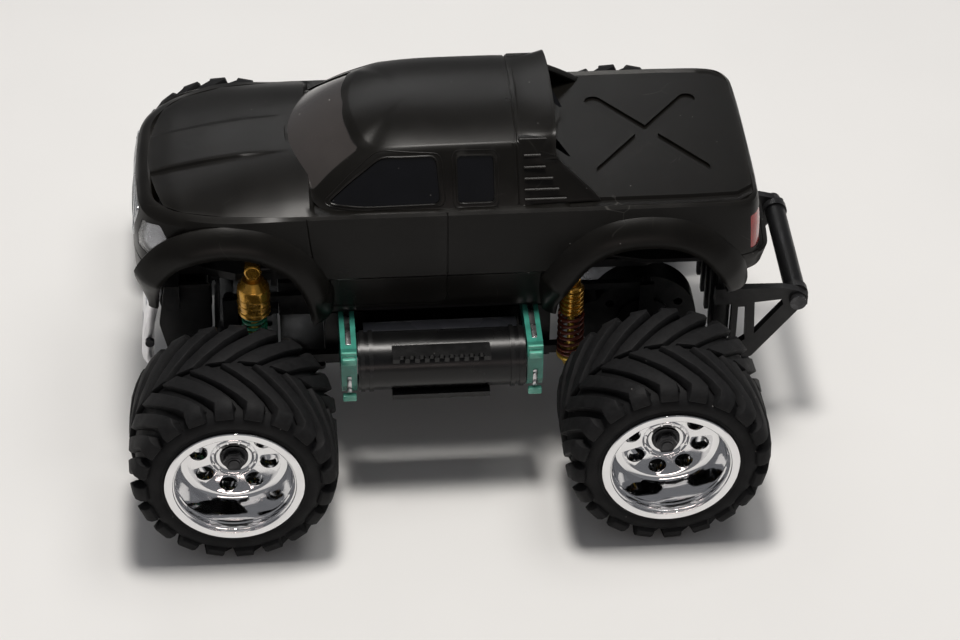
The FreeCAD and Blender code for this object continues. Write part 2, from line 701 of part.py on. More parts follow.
def rear_axle_half(side, x0):
    """One side's axle tube with its ears, posts and pins."""
    tag = "left" if side > 0 else "right"
    pieces = [rod(f"axle_tube_{tag}", "Y", (x0, 12 if side > 0 else -54, "axle_height"),
                  42 if side > 0 else 61, 3.8)]
    pieces.append(block(f"rear_arm_ear_{tag}", (-60, "-arm_end_x + 2.5"), span(side, 18.8, 20.2),
                        (24.8, 29.2)))
    start = "arm_side - 2.2" if side > 0 else "-arm_side - 1.7"
    pieces.append(rod(f"rear_arm_pin_{tag}", "Y", ("-arm_end_x", start, "arm_height"), 3.9, "pin_radius"))
    pieces.append(block(f"rear_link_post_{tag}", (-62, -57.8), span(side, 16.8, 18.3), (31, 45.4)))
    start = 14.2 if side > 0 else -17.2
    pieces.append(rod(f"rear_link_pin_{tag}", "Y", (-60, start, "link_height"), 3, "pin_radius"))
    plate_x = (-60, "rear_shock_x + 2.4")
    pieces.append(block(f"rear_shock_plate_{tag}", plate_x, span(side, 23.7, 24.9), (25.6, 28.35)))
    start = 24.7 if side > 0 else -27.4
    pieces.append(rod(f"rear_shock_pin_{tag}", "Y", ("rear_shock_x", start, 27.4), 2.7, 0.8))
    return pieces


def rear_axle():
    """The live rear axle: a case half with a gear drum, a cover half with the other tube, gears and motor."""
    x0 = -60
    motor_x = x0 + dim("gear_module") * (dim("spur_teeth") + dim("pinion_teeth")) / 2
    z = "axle_height"
    bore = [rod("axle_bore", "Y", (x0, -60, z), 120, 1.7)]
    seats = [rod(f"bush_seat_{y}", "Y", (x0, y, z), 4.2, 2.8) for y in (-54.2, 50)]
    drum = [rod("gear_drum", "Y", (x0, 5.6, z), 6.2, 15.5), rod("gear_lobe", "Y", (motor_x, 5.6, z), 6.2, 7),
            block("gear_bridge", (x0, motor_x), (5.6, 11.8), (22.2, 35.8))]
    hollow = [rod("drum_hollow", "Y", (x0, 6.8, z), 9, 12.6),
              rod("lobe_hollow", "Y", (motor_x, 6.8, z), 9, 4.8),
              block("bridge_hollow", (x0 + 8, motor_x), (6.8, 16), (26, 32)),
              rod("motor_hole", "Y", (motor_x, 4, z), 4, 2.2)]
    case = join("rear_case_mass", rear_axle_half(-1, x0) + drum)
    keep(cut("rear_case", case, hollow + bore + seats[:1]), "rear_axle_case")
    lid = [rod("lid_disc", "Y", (x0, 11.85, z), 1.4, 15.5), rod("lid_lobe", "Y", (motor_x, 11.85, z), 1.4, 7),
           block("lid_bridge", (x0, motor_x), (11.85, 13.25), (22.2, 35.8)),
           rod("lid_boss", "Y", (x0, 12, z), 2.6, 8)]
    openings = []
    for i in range(6):
        angle = math.radians(60 * i + 30)
        centre = (x0 + 11.5 * math.cos(angle), 10, 29 + 11.5 * math.sin(angle))
        openings.append(rod(f"lid_hole_{i}", "Y", centre, 5, 1.3))
    keep(cut("lid_solid", join("lid_mass", rear_axle_half(1, x0) + lid), openings + bore + seats[1:]),
         "rear_axle_cover")
    bushes = []
    for y in (-54, 50):
        ring = rod(f"bush_out_{y}", "Y", (x0, y, z), 4, 2.78)
        bushes.append(cut(f"bush_{y}", ring,
                          [rod(f"bush_in_{y}", "Y", (x0, y - 1, z), 6, "hub_bore_radius")]))
    keep(group("bushes", bushes), "axle_bushes")
    can = rod("motor_round", "Y", (motor_x, -18.6, z), 24.1, 9.9)
    flats = block("motor_flats", (motor_x - 12, motor_x + 12), (-20, 7), (21.6, 36.4))
    tail = rod("motor_tail", "Y", (motor_x, -20, z), 1.6, 3)
    motor = join("motor_mass", [shared("motor_can", can, flats), tail])
    keep(cut("motor_solid", motor, [rod("motor_bore", "Y", (motor_x, -21, z), 30, 1.08)]), "drive_motor")
    shaft = rod("motor_shaft", "Y", (motor_x, -20.6, z), 31.8, 1)
    keep(gear("pinion", "pinion_teeth", motor_x, 7.3, 11.1, shaft, 180 / dim("pinion_teeth")), "pinion_gear")
    collar = rod("spur_collar", "Y", (x0, 7, z), 4.6, 3)
    spur = gear("spur", "spur_teeth", x0, 7.6, 10.8, collar, 0)
    keep(cut("spur_solid", spur, [rod("spur_bore", "Y", (x0, 0, z), 20, "axle_radius + 0.02")]), "spur_gear")
    half = "half_track + 9.8"
    shaft = rod("rear_shaft_bar", "Y", (x0, f"-({half})", z), f"2 * ({half})", "axle_radius")
    ends = [rod(f"rear_shaft_shoulder_{y}", "Y", (x0, y, z), 1.6, 2.4) for y in (-55.9, 54.3)]
    keep(join("rear_shaft", [shaft] + ends), "rear_axle_shaft")


# ---------------------------------------------------------------- shocks

def spring_pair(name, label, x, side, low, high, radius, wire, turns):
    helix = doc.addObject("Part::Helix", name + "_path")
    bind(helix, "Radius", radius)
    height = high - low - 2 * wire
    bind(helix, "Height", height)
    bind(helix, "Pitch", height / turns)
    section = doc.addObject("Sketcher::SketchObject", name + "_wire")
    section.Placement = FreeCAD.Placement(Vec(), PLANES["XZ"])
    draw_circle(section, (radius, 0), wire)
    doc.recompute()
    coil = doc.addObject("Part::Sweep", name + "_coil")
    coil.Sections = [section]
    coil.Spine = (helix, [f"Edge{i + 1}" for i in range(len(helix.Shape.Edges))])
    coil.Solid = True
    coil.Frenet = True
    stand_at(coil, (x, side, low + wire))
    keep(both_sides(name + "_pair", coil), label)


def front_shocks():
    x, y = "front_shock_x", "front_shock_side"
    parts = [rod("fs_barrel", "Z", (x, y, 46.5), 12.2, 4.6), rod("fs_neck", "Z", (x, y, 43), 3.6, 2.1),
             taper("fs_cap", "Z", (x, y, 58.7), 1.6, 4.6, 3),
             rod("fs_eye", "X", (f"{x} - 2.4", y, 62), 4.8, 2.9),
             block("fs_stem", (f"{x} - 2", f"{x} + 2"), (f"{y} - 2", f"{y} + 2"), (59.5, 61.5))]
    grooves = []
    for i, z in enumerate((49.3, 52.2, 55.1)):
        ring = rod(f"fs_groove_ring_{i}", "Z", (x, y, z), 0.8, 5.4)
        grooves.append(cut(f"fs_groove_{i}", ring, [rod(f"fs_groove_core_{i}", "Z", (x, y, z - 1), 3, 4.1)]))
    holes = [rod("fs_bore", "Z", (x, y, 42), 14, 1.08),
             rod("fs_eye_bore", "X", (f"{x} - 5", y, 62), 10, "eye_bore")]
    body = cut("fs_body", join("fs_mass", parts), holes + grooves)
    keep(both_sides("fs_bodies", body), "front_shock_bodies")
    shaft = rod("fs_shaft", "Z", (x, y, 36), 14.5, 1)
    cup = rod("fs_cup", "Z", (x, y, 37.4), 1.1, 3.9)
    eye = rod("fs_foot", "Y", (x, f"{y} - 2", 35.4), 4, 2)
    foot = cut("fs_foot_open", join("fs_rod_mass", [shaft, cup, eye]),
               [rod("fs_foot_bore", "Y", (x, f"{y} - 4", 35.4), 8, 1.25)])
    keep(both_sides("fs_rods", foot), "front_shock_rods")
    spring_pair("fs_spring", "front_springs", x, y, 38.55, 46.45, 3.2, 0.45, 4.5)


def rear_shocks():
    """Thinner shocks with a finned head, a long shaft and the spring low down."""
    x, y = "rear_shock_x", "rear_shock_side"
    parts = [rod("rs_barrel", "Z", (x, y, 44.5), 9.5, 2.9),
             rod("rs_eye", "X", (f"{x} - 2.4", y, 57), 4.8, 2.6),
             block("rs_stem", (f"{x} - 1.8", f"{x} + 1.8"), (f"{y} - 1.8", f"{y} + 1.8"), (53.5, 56.5))]
    parts += [rod(f"rs_fin_{i}", "Z", (x, y, 44.5 + 2.1 * i), 1.1, 3.5) for i in range(5)]
    holes = [rod("rs_bore", "Z", (x, y, 43), 10.2, 1.08),
             rod("rs_eye_bore", "X", (f"{x} - 5", y, 57), 10, "eye_bore")]
    keep(both_sides("rs_bodies", cut("rs_body", join("rs_mass", parts), holes)), "rear_shock_bodies")
    lug = block("rs_lug", (f"{x} - 1.9", f"{x} + 1.9"), (f"{y} - 2.3", f"{y} + 0.5"), (25.4, 29.4))
    shaft = rod("rs_shaft", "Z", (x, y, 26), 23, 1)
    cup = rod("rs_cup", "Z", (x, y, 28.6), 1.4, 3.9)
    tip = taper("rs_tip", "Z", (x, y, 24), 3.8, 1.2, 2.3)
    foot = cut("rs_rod", join("rs_rod_mass", [shaft, cup, tip, lug]),
               [rod("rs_foot_bore", "Y", (x, f"{y} - 5", 27.4), 5.2, 1.25)])
    keep(both_sides("rs_rods", foot), "rear_shock_rods")
    spring_pair("rs_spring", "rear_springs", x, y, 30.05, 44.45, 3.4, 0.5, 7)


# ---------------------------------------------------------------- guards and fasteners

def front_guard():
    """A bright U-shaped bar that hangs under the nose."""
    outline = [(78.6, 52), (81, 52), (84.4, 36), (85.6, 27), (81, 22.4), (72, 21.4), (72, 23), (80, 24),
               (83, 27.6), (82, 36)]
    bars = [prism(f"guard_bar_{side}", "XZ", outline, *sorted((side * 17, side * 19.6))) for side in (-1, 1)]
    bars += [rod(f"guard_cross_{z}", "Y", (x, -17.5, z), 35, 1.1) for x, z in ((83, 33), (80, 23.6))]
    keep(join("front_guard_solid", bars + [block("guard_mount", (74.2, 81.6), (-19.6, 19.6), (41.4, 43.9))]),
         "front_guard")


def rear_guard():
    outline = [(-84.1, 46.6), (-98.5, 46.3), (-103, 45.1), (-106, 43), (-106, 40), (-103.6, 38.3),
               (-91, 21.5), (-87, 19.6),
               (-84.1, 24), (-84.1, 28)]
    window = [(-90.6, 41.4), (-98.4, 42.2), (-99, 40.4), (-91.2, 29.8)]
    slot = [(-85.9, 40), (-88.2, 40), (-88.6, 27.8), (-85.9, 25.6)]
    span = (20.9, 23.3)
    plate = prism("wheelie_plate", "XZ", outline, *span)
    gaps = [prism("wheelie_window", "XZ", window, 20, 24), prism("wheelie_slot", "XZ", slot, 20, 24)]
    hole = rod("wheelie_hole", "Y", ("guard_tube_x", 18, "guard_tube_height"), 8, 1.3)
    foot = block("wheelie_foot", (-84.1, -79), span, (41, 46.6))
    left = cut("wheelie_left", join("wheelie_mass", [plate, foot]), gaps + [hole])
    keep(both_sides("wheelie_pair", left), "rear_guard_plates")
    tube = rod("wheelie_tube", "Y", ("guard_tube_x", -20.8, "guard_tube_height"), 41.6, 3)
    collars = [rod(f"wheelie_collar_{y}", "Y", ("guard_tube_x", y, "guard_tube_height"), 2.4, 3.5)
               for y in (-20.8, 18.4)]
    bore = rod("wheelie_bore", "Y", ("guard_tube_x", -25, "guard_tube_height"), 50, 1.3)
    keep(cut("wheelie_tube_solid", join("wheelie_tube_mass", [tube] + collars), [bore]), "rear_guard_tube")
    screws = []
    for side in (-1, 1):
        tag = "left" if side > 0 else "right"
        start = 15 if side > 0 else -23.4
        stem = rod(f"guard_stem_{tag}", "Y", ("guard_tube_x", start, "guard_tube_height"), 8.4, 1.25)
        head = rod(f"guard_head_{tag}", "Y",
                   ("guard_tube_x", 23.35 if side > 0 else -24.95, "guard_tube_height"), 1.6, 2.4)
        screws.append(join(f"guard_screw_{tag}", [stem, head]))
        screws.append(rod(f"nose_screw_{tag}", "Y", (83.2, 19.65 if side > 0 else -21.05, 33), 1.4, 1.3))
    for x in (-27, 28):
        for y in (-9, 9):
            screws.append(rod(f"deck_screw_{x}_{y}", "Z", (x, y, "deck_floor + deck_thickness + 0.02"), 1.2,
                              1.4))
    keep(group("screw_set", screws), "screws")


# ---------------------------------------------------------------- body shell

def lower_section(inset, half_foot, foot, half_side, side, half_belt, belt, half_top, top, crown):
    """One cross-section of the lower shell, from foot to crown and back."""
    drop = -12 if inset else 0
    left = [(half_foot - inset, foot + drop), (half_side - inset, side), (half_belt - inset, belt - inset),
            (half_top - inset, top - inset)]
    return left + [(0, crown - inset)] + [(-y, z) for y, z in reversed(left)]


SHELL_SECTIONS = {
    86.5: (13, 53, 16, 62, 15, 76, 12, 80, 81),
    80: (27, 51, 30, 64, 29, 79, 20, 83.5, 84.3),
    60: (31.5, 50.5, 34.4, 66, 33.4, 84, 22, 86.5, 87.5),
    38: (32, 50.6, 34.6, 66, 33.2, 85.5, 25, 87.5, 89.6),
    -34: (32, 51, 34.6, 66, 33.2, 85, 29.5, 85.4, 86),
    -80: (31, 56, 34.4, 67, 33, 84.8, 29, 85.2, 85.7),
    -88: (25, 58, 29, 66, 28.4, 83.4, 26, 84.6, 84.9),
}


def lower_shell(name, inset):
    ends = {min(SHELL_SECTIONS): inset, max(SHELL_SECTIONS): -inset}
    return loft(name, "YZ", {x + ends.get(x, 0): lower_section(inset, *row)
                             for x, row in SHELL_SECTIONS.items()})


def cabin(name, inset):
    """The greenhouse, from the belt line to the crown of the roof."""
    rings = {
        82 if inset else 84.5: ((43.5, 10), (37, 24), (31, 30.3), (-25, 29.5)),
        "roof_height": ((25.5, 9), (21, 17.5), (16, 21), (-21.2, 20.6)),
        "crown_height": ((15, 6), (11, 11), (7, 13), (-17, 12)),
    }
    sections = {}
    for level, half in rings.items():
        left = [(x - inset if x > 0 else x + inset, y - inset) for x, y in half]
        height = f"{level} - {inset if level != 82 else 0}"
        sections[height] = left + [(x, -y) for x, y in reversed(left)]
    return loft(name, "XY", sections)


def arch_cutters():
    """Round wheel openings through each side."""
    return [rod(f"arch_{x}_{side}", "Y", (x, 22 if side > 0 else -46, "arch_height"), 24, "arch_radius")
            for x in (59.5, -58.5) for side in (-1, 1)]


def flares():
    """Rounded lips round the wheel openings."""
    rings = []
    for x in (59.5, -58.5):
        for side in (-1, 1):
            tag = f"{x}_{side}"
            start = 31.5 if side > 0 else "-flare_side"
            outer = rod("flare_out_" + tag, "Y", (x, start, "arch_height"), "flare_side - 31.5",
                        "arch_radius + 2.6")
            inner = rod("flare_in_" + tag, "Y", (x, start, "arch_height"), "flare_side - 31.5", "arch_radius")
            below = block("flare_low_" + tag, (x - 30, x + 30), sorted((side * 20, side * 50)), (20, 58))
            rings.append(cut("flare_" + tag, outer, [inner, below]))
    return rings


SIDE_WINDOWS = {
    "door": [(33, 86.4), (17.5, 97.4), (1.4, 97.6), (0.4, 86.2), (22, 86)],
    "rear": [(-3.9, 86.2), (-3.9, 97.4), (-14.5, 97.3), (-14.5, 86.2)],
}


def body_shell():
    outer = join("shell_outer", [lower_shell("lower_outer", 0), cabin("cabin_outer", 0)] + [
        prism("rear_bumper", "YZ", [(-26, 58), (-28, 61), (-28, 66.5), (28, 66.5), (28, 61), (26, 58)],
              -93, -86)])
    inner = join("shell_inner", [lower_shell("lower_inner", dim("shell_wall")),
                                 cabin("cabin_inner", dim("shell_wall"))])
    skin = cut("shell_skin", outer, [inner] + arch_cutters())
    cutters = {
        "side_windows": [prism(f"pane_{word}_{side}", "XZ", outline, *sorted((side * 22, side * 40)))
                         for word, outline in SIDE_WINDOWS.items() for side in (-1, 1)],
        "windshield": [prism("pane_front", "YZ", [(-21, 88.8), (21, 88.8), (15.5, 98.4), (-15.5, 98.4)],
                             24.5, 48)],
        "rear_window": [prism("pane_back", "YZ", [(-22, 87.5), (22, 87.5), (16, 97.4), (-16, 97.4)],
                              -28, -17)],
        "headlights": [prism("lamp_left", "XZ", [(82.6, 81.5), (78.5, 83.6), (74.5, 75.4), (80, 71.2)],
                             21, 34),
                       prism("lamp_right", "XZ", [(82.6, 81.5), (78.5, 83.6), (74.5, 75.4), (80, 71.2)],
                             -34, -21)],
        "grille": [prism("grille_cut", "YZ", [(-10.5, 66), (10.5, 66), (11.5, 78.5), (-11.5, 78.5)],
                         84.2, 90)],
        "tail_lights": [prism("tail_left", "XZ", [(-80.8, 80.4), (-90, 80.4), (-90, 68), (-80.8, 68)],
                              25.5, 40),
                        prism("tail_right", "XZ", [(-80.8, 80.4), (-90, 80.4), (-90, 68), (-80.8, 68)],
                              -40, -25.5)],
    }
    every = [tool for tools in cutters.values() for tool in tools]
    bare = cut("shell_open", skin, every)
    keep(join("shell_solid", [bare] + flares()), "body_shell")
    for label, tools in cutters.items():
        tool = tools[0] if len(tools) == 1 else join(label + "_tool", tools)
        keep(shared(label + "_solid", skin, tool), label)


def roof_spoiler():
    top = prism("spoiler_top", "XZ", [(-21.3, 100), (-21.3, 103), (-32, 103.9), (-33, 102.6), (-27, 99)],
                -23, 23)
    sails = []
    for side in (-1, 1):
        outline = [(-25.3, 86.4), (-43, 86.4), (-38, 90), (-33, 94), (-32.4, 103), (-25, 101.5)]
        sails.append(prism(f"sail_{side}", "XZ", outline, *sorted((side * 23, side * 25.6))))
    keep(join("spoiler_solid", [top] + sails), "roof_spoiler")


# ---------------------------------------------------------------- build, check and write

wheels()
chassis_tub()
upper_deck()
shock_towers()
body_posts()
electronics()
batteries()
battery_cover(1, "left")
battery_cover(-1, "right")
front_axle()
steering()
links()
rear_axle()
front_shocks()
rear_shocks()
front_guard()
rear_guard()
body_shell()
roof_spoiler()
doc.recompute()

failed = [thing.Name for thing in doc.Objects if {"Invalid", "Error"} & set(thing.State)]
for node in nodes:
    if node.Shape.isNull() or not node.Shape.isValid() or not node.Shape.Solids:
        failed.append(node.Label)
if failed:
    raise SystemExit("not built: " + ", ".join(failed))

os.makedirs("parts", exist_ok=True)
for node in nodes:
    node.Shape.exportStep(f"parts/{node.Label}.step")
    print(f"{node.Label:26s} solids {len(node.Shape.Solids):2d}  volume {node.Shape.Volume:9.1f}")
print(len(nodes), "nodes")
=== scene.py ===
import json
from math import atan2, copysign, cos, pi, radians, sin

import bmesh
import bpy
from mathutils import Matrix, Vector
from mathutils.bvhtree import BVHTree

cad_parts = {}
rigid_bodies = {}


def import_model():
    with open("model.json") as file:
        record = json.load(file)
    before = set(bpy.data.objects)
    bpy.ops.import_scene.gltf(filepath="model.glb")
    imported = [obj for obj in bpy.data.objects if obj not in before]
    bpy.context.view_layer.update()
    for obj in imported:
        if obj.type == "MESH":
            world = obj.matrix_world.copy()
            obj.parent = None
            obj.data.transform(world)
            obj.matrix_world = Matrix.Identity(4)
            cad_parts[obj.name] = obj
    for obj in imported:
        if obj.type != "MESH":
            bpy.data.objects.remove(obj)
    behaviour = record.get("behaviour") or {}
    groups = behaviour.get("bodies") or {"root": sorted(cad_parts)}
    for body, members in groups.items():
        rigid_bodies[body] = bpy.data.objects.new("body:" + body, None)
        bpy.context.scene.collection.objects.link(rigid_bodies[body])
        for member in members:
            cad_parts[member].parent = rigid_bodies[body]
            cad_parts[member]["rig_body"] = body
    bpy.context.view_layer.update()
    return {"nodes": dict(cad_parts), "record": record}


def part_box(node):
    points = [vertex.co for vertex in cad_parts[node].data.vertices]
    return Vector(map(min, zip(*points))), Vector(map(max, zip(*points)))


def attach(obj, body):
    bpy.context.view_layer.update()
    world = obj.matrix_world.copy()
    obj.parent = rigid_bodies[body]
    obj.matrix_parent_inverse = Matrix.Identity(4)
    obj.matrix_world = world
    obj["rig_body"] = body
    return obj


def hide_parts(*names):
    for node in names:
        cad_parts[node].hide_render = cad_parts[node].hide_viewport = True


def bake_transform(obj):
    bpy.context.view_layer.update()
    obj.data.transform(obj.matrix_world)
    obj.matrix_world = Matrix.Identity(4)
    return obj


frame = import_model()

MM = 0.001
SIDES = (1, -1)
scene = bpy.context.scene


# ---- places read from the frame

def middle(node):
    low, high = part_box(node)
    return (low + high) / 2


CENTRE_X = (middle("tyre_front_left").x + middle("tyre_rear_left").x) / 2
AXLE_X = (middle("tyre_front_left").x - CENTRE_X) / MM
WHEEL_Y = middle("tyre_front_left").y / MM
WHEEL_Z = middle("tyre_front_left").z / MM


def row(point):
    """A point in millimetres from mid-wheelbase, as metres in the shared frame."""
    return Vector((point[0] * MM + CENTRE_X, point[1] * MM, point[2] * MM))


def in_mm(point):
    """A point in metres in the shared frame, as millimetres from mid-wheelbase."""
    return Vector(((point.x - CENTRE_X) / MM, point.y / MM, point.z / MM))


# ---- shape helpers, in millimetres

def blend_value(keys, at):
    """Straight-line reading of a list of (position, value) sorted by position."""
    if at <= keys[0][0]:
        return keys[0][1]
    for (a, va), (b, vb) in zip(keys, keys[1:]):
        if at <= b:
            return va + (vb - va) * (at - a) / (b - a)
    return keys[-1][1]


def ease(t):
    t = min(1.0, max(0.0, t))
    return t * t * (3 - 2 * t)


def smooth_line(points, steps, closed=False):
    """Points on a smooth curve through the given points."""
    points = [Vector(p) for p in points]
    count = len(points)
    line = []
    for i in range(count if closed else count - 1):
        if closed:
            a, b, c, d = (points[(i + k) % count] for k in (-1, 0, 1, 2))
        else:
            b, c = points[i], points[i + 1]
            a = points[i - 1] if i else b * 2 - c
            d = points[i + 2] if i + 2 < count else c * 2 - b
        for k in range(steps):
            t = k / steps
            line.append(0.5 * (2 * b + (c - a) * t + (2 * a - 5 * b + 4 * c - d) * t ** 2
                               + (3 * b - a - 3 * c + d) * t ** 3))
    if not closed:
        line.append(points[-1].copy())
    return line


def rounded(points, radius, steps=4):
    """A flat outline with its corners rounded."""
    result = []
    count = len(points)
    for i, corner in enumerate(points):
        corner = Vector(corner)
        before, after = Vector(points[i - 1]), Vector(points[(i + 1) % count])
        reach = min(radius, (before - corner).length * 0.45, (after - corner).length * 0.45)
        start = corner + (before - corner).normalized() * reach
        end = corner + (after - corner).normalized() * reach
        for k in range(steps + 1):
            t = k / steps
            result.append(start * (1 - t) ** 2 + corner * 2 * t * (1 - t) + end * t ** 2)
    return result


def grid(rows, wrap_rows=False, wrap_columns=False):
    """Points and faces of a grid given as a list of rows."""
    height, width = len(rows), len(rows[0])
    points = [p for line in rows for p in line]
    faces = []
    for i in range(height if wrap_rows else height - 1):
        for j in range(width if wrap_columns else width - 1):
            a, b = i * width + j, i * width + (j + 1) % width
            c, d = ((i + 1) % height) * width + (j + 1) % width, ((i + 1) % height) * width + j
            faces.append((a, b, c, d))
    return points, faces


def capped(rows):
    """A skin over a run of closed rings, with both ends closed."""
    points, faces = grid(rows, wrap_columns=True)
    width = len(rows[0])
    faces.append(tuple(range(width)))
    faces.append(tuple(reversed(range(len(points) - width, len(points)))))
    return points, faces


def flat_curve(points, steps=6):
    """A smooth curve through points given by two coordinates."""
    return [(p.x, p.y) for p in smooth_line([(*point, 0) for point in points], steps)]


def rectangle(left, right, low, high, radius):
    """The outline of a rectangle with round corners."""
    return rounded([(left, low), (right, low), (right, high), (left, high)], radius)


def gathered(parts):
    """Several (points, faces) as one."""
    points, faces = [], []
    for part_points, part_faces in parts:
        base = len(points)
        points += [Vector(p) for p in part_points]
        faces += [tuple(i + base for i in face) for face in part_faces]
    return points, faces


def mirrored(part):
    points, faces = part
    return [Vector((p[0], -p[1], p[2])) for p in points], [tuple(reversed(face)) for face in faces]


def moved(part, offset):
    return [Vector(p) + Vector(offset) for p in part[0]], part[1]


def both(part):
    return gathered([part, mirrored(part)])


def lathe(profile, segments, centre=(0, 0, 0), axis="Y"):
    """A closed profile of (radius, distance along the axis) turned about an axis through the centre."""
    rings = []
    for k in range(segments):
        angle = 2 * pi * k / segments
        ring = []
        for radius, along in profile:
            flat = (radius * cos(angle), radius * sin(angle))
            offset = {"X": (along, *flat), "Y": (flat[0], along, flat[1]), "Z": (*flat, along)}[axis]
            ring.append(Vector(centre) + Vector(offset))
        rings.append(ring)
    return grid(rings, wrap_rows=True, wrap_columns=True)


def tube(line, radius, sides=8, closed=False):
    """A round tube that follows a line, with closed ends."""
    line = [Vector(p) for p in line]
    rings = []
    normal = None
    for i, point in enumerate(line):
        ahead = line[(i + 1) % len(line)] if closed or i + 1 < len(line) else point
        behind = line[i - 1] if closed or i else point
        forward = (ahead - behind).normalized()
        if normal is None:
            normal = forward.orthogonal().normalized()
        normal = (normal - forward * normal.dot(forward)).normalized()
        other = forward.cross(normal)
        rings.append([point + (normal * cos(a) + other * sin(a)) * radius
                      for a in (2 * pi * k / sides for k in range(sides))])
    return grid(rings, wrap_rows=True, wrap_columns=True) if closed else capped(rings)


def slab(outline, plane, low, high):
    """A flat outline pushed straight along the axis that its plane leaves out."""
    place = {"XZ": lambda p, t: (p[0], t, p[1]), "YZ": lambda p, t: (t, p[0], p[1]),
             "XY": lambda p, t: (p[0], p[1], t)}[plane]
    return capped([[Vector(place(p, level)) for p in outline] for level in (low, high)])


# ---- objects

def mesh_of(name, part):
    points, faces = part
    mesh = bpy.data.meshes.new(name)
    mesh.from_pydata([row(p) for p in points], [], faces)
    work = bmesh.new()
    work.from_mesh(mesh)
    bmesh.ops.remove_doubles(work, verts=work.verts, dist=1e-7)
    bmesh.ops.recalc_face_normals(work, faces=work.faces)
    work.to_mesh(mesh)
    work.free()
    return mesh


def shade(obj, angle=32):
    mesh = obj.data
    mesh.polygons.foreach_set("use_smooth", [True] * len(mesh.polygons))
    mesh.set_sharp_from_angle(angle=radians(angle))


def settle(obj):
    """Turns the object's modifiers into plain mesh."""
    bpy.context.view_layer.update()
    depsgraph = bpy.context.evaluated_depsgraph_get()
    mesh = bpy.data.meshes.new_from_object(obj.evaluated_get(depsgraph))
    obj.modifiers.clear()
    old = obj.data
    obj.data = mesh
    bpy.data.meshes.remove(old)


def raw(name, part):
    """An object in the scene, without a look or a body yet."""
    obj = bpy.data.objects.new(name, mesh_of(name, part))
    scene.collection.objects.link(obj)
    return obj


def thicken(obj, depth):
    """Gives a surface thickness, inwards of its outside."""
    modifier = obj.modifiers.new("wall", "SOLIDIFY")
    modifier.thickness = depth * MM
    modifier.offset = -1.0
    modifier.use_even_offset = True
    settle(obj)


def carve(obj, parts, operation="DIFFERENCE"):
    """Cuts the parts out of the object, or keeps only what they share."""
    tool = raw(obj.name + "_tool", gathered(parts))
    modifier = obj.modifiers.new("carve", "BOOLEAN")
    modifier.operation = operation
    modifier.solver = "EXACT"
    modifier.use_self = True
    modifier.object = tool
    settle(obj)
    bpy.data.objects.remove(tool)


def soften(obj, width, angle=35):
    """Small bevels along the sharp edges, as a modifier."""
    modifier = obj.modifiers.new("soft_edges", "BEVEL")
    modifier.width = width * MM
    modifier.segments = 2
    modifier.limit_method = "ANGLE"
    modifier.angle_limit = radians(angle)


def finish_piece(obj, body, finish, slot, stands_for=(), angle=32):
    """Gives the object its look, its body and the CAD nodes it stands in for; its slot argument is not used."""
    shade(obj, angle)
    obj.data.materials.clear()
    obj.data.materials.append(finish)
    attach(obj, body)
    if stands_for:
        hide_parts(*stands_for)
    return obj


def piece(name, part, body, finish, slot, stands_for=(), edge=0.0, angle=32):
    """A named piece made straight from points and faces."""
    obj = raw(name, part)
    if edge:
        soften(obj, edge)
        settle(obj)
    return finish_piece(obj, body, finish, slot, stands_for, angle)


# ---- materials

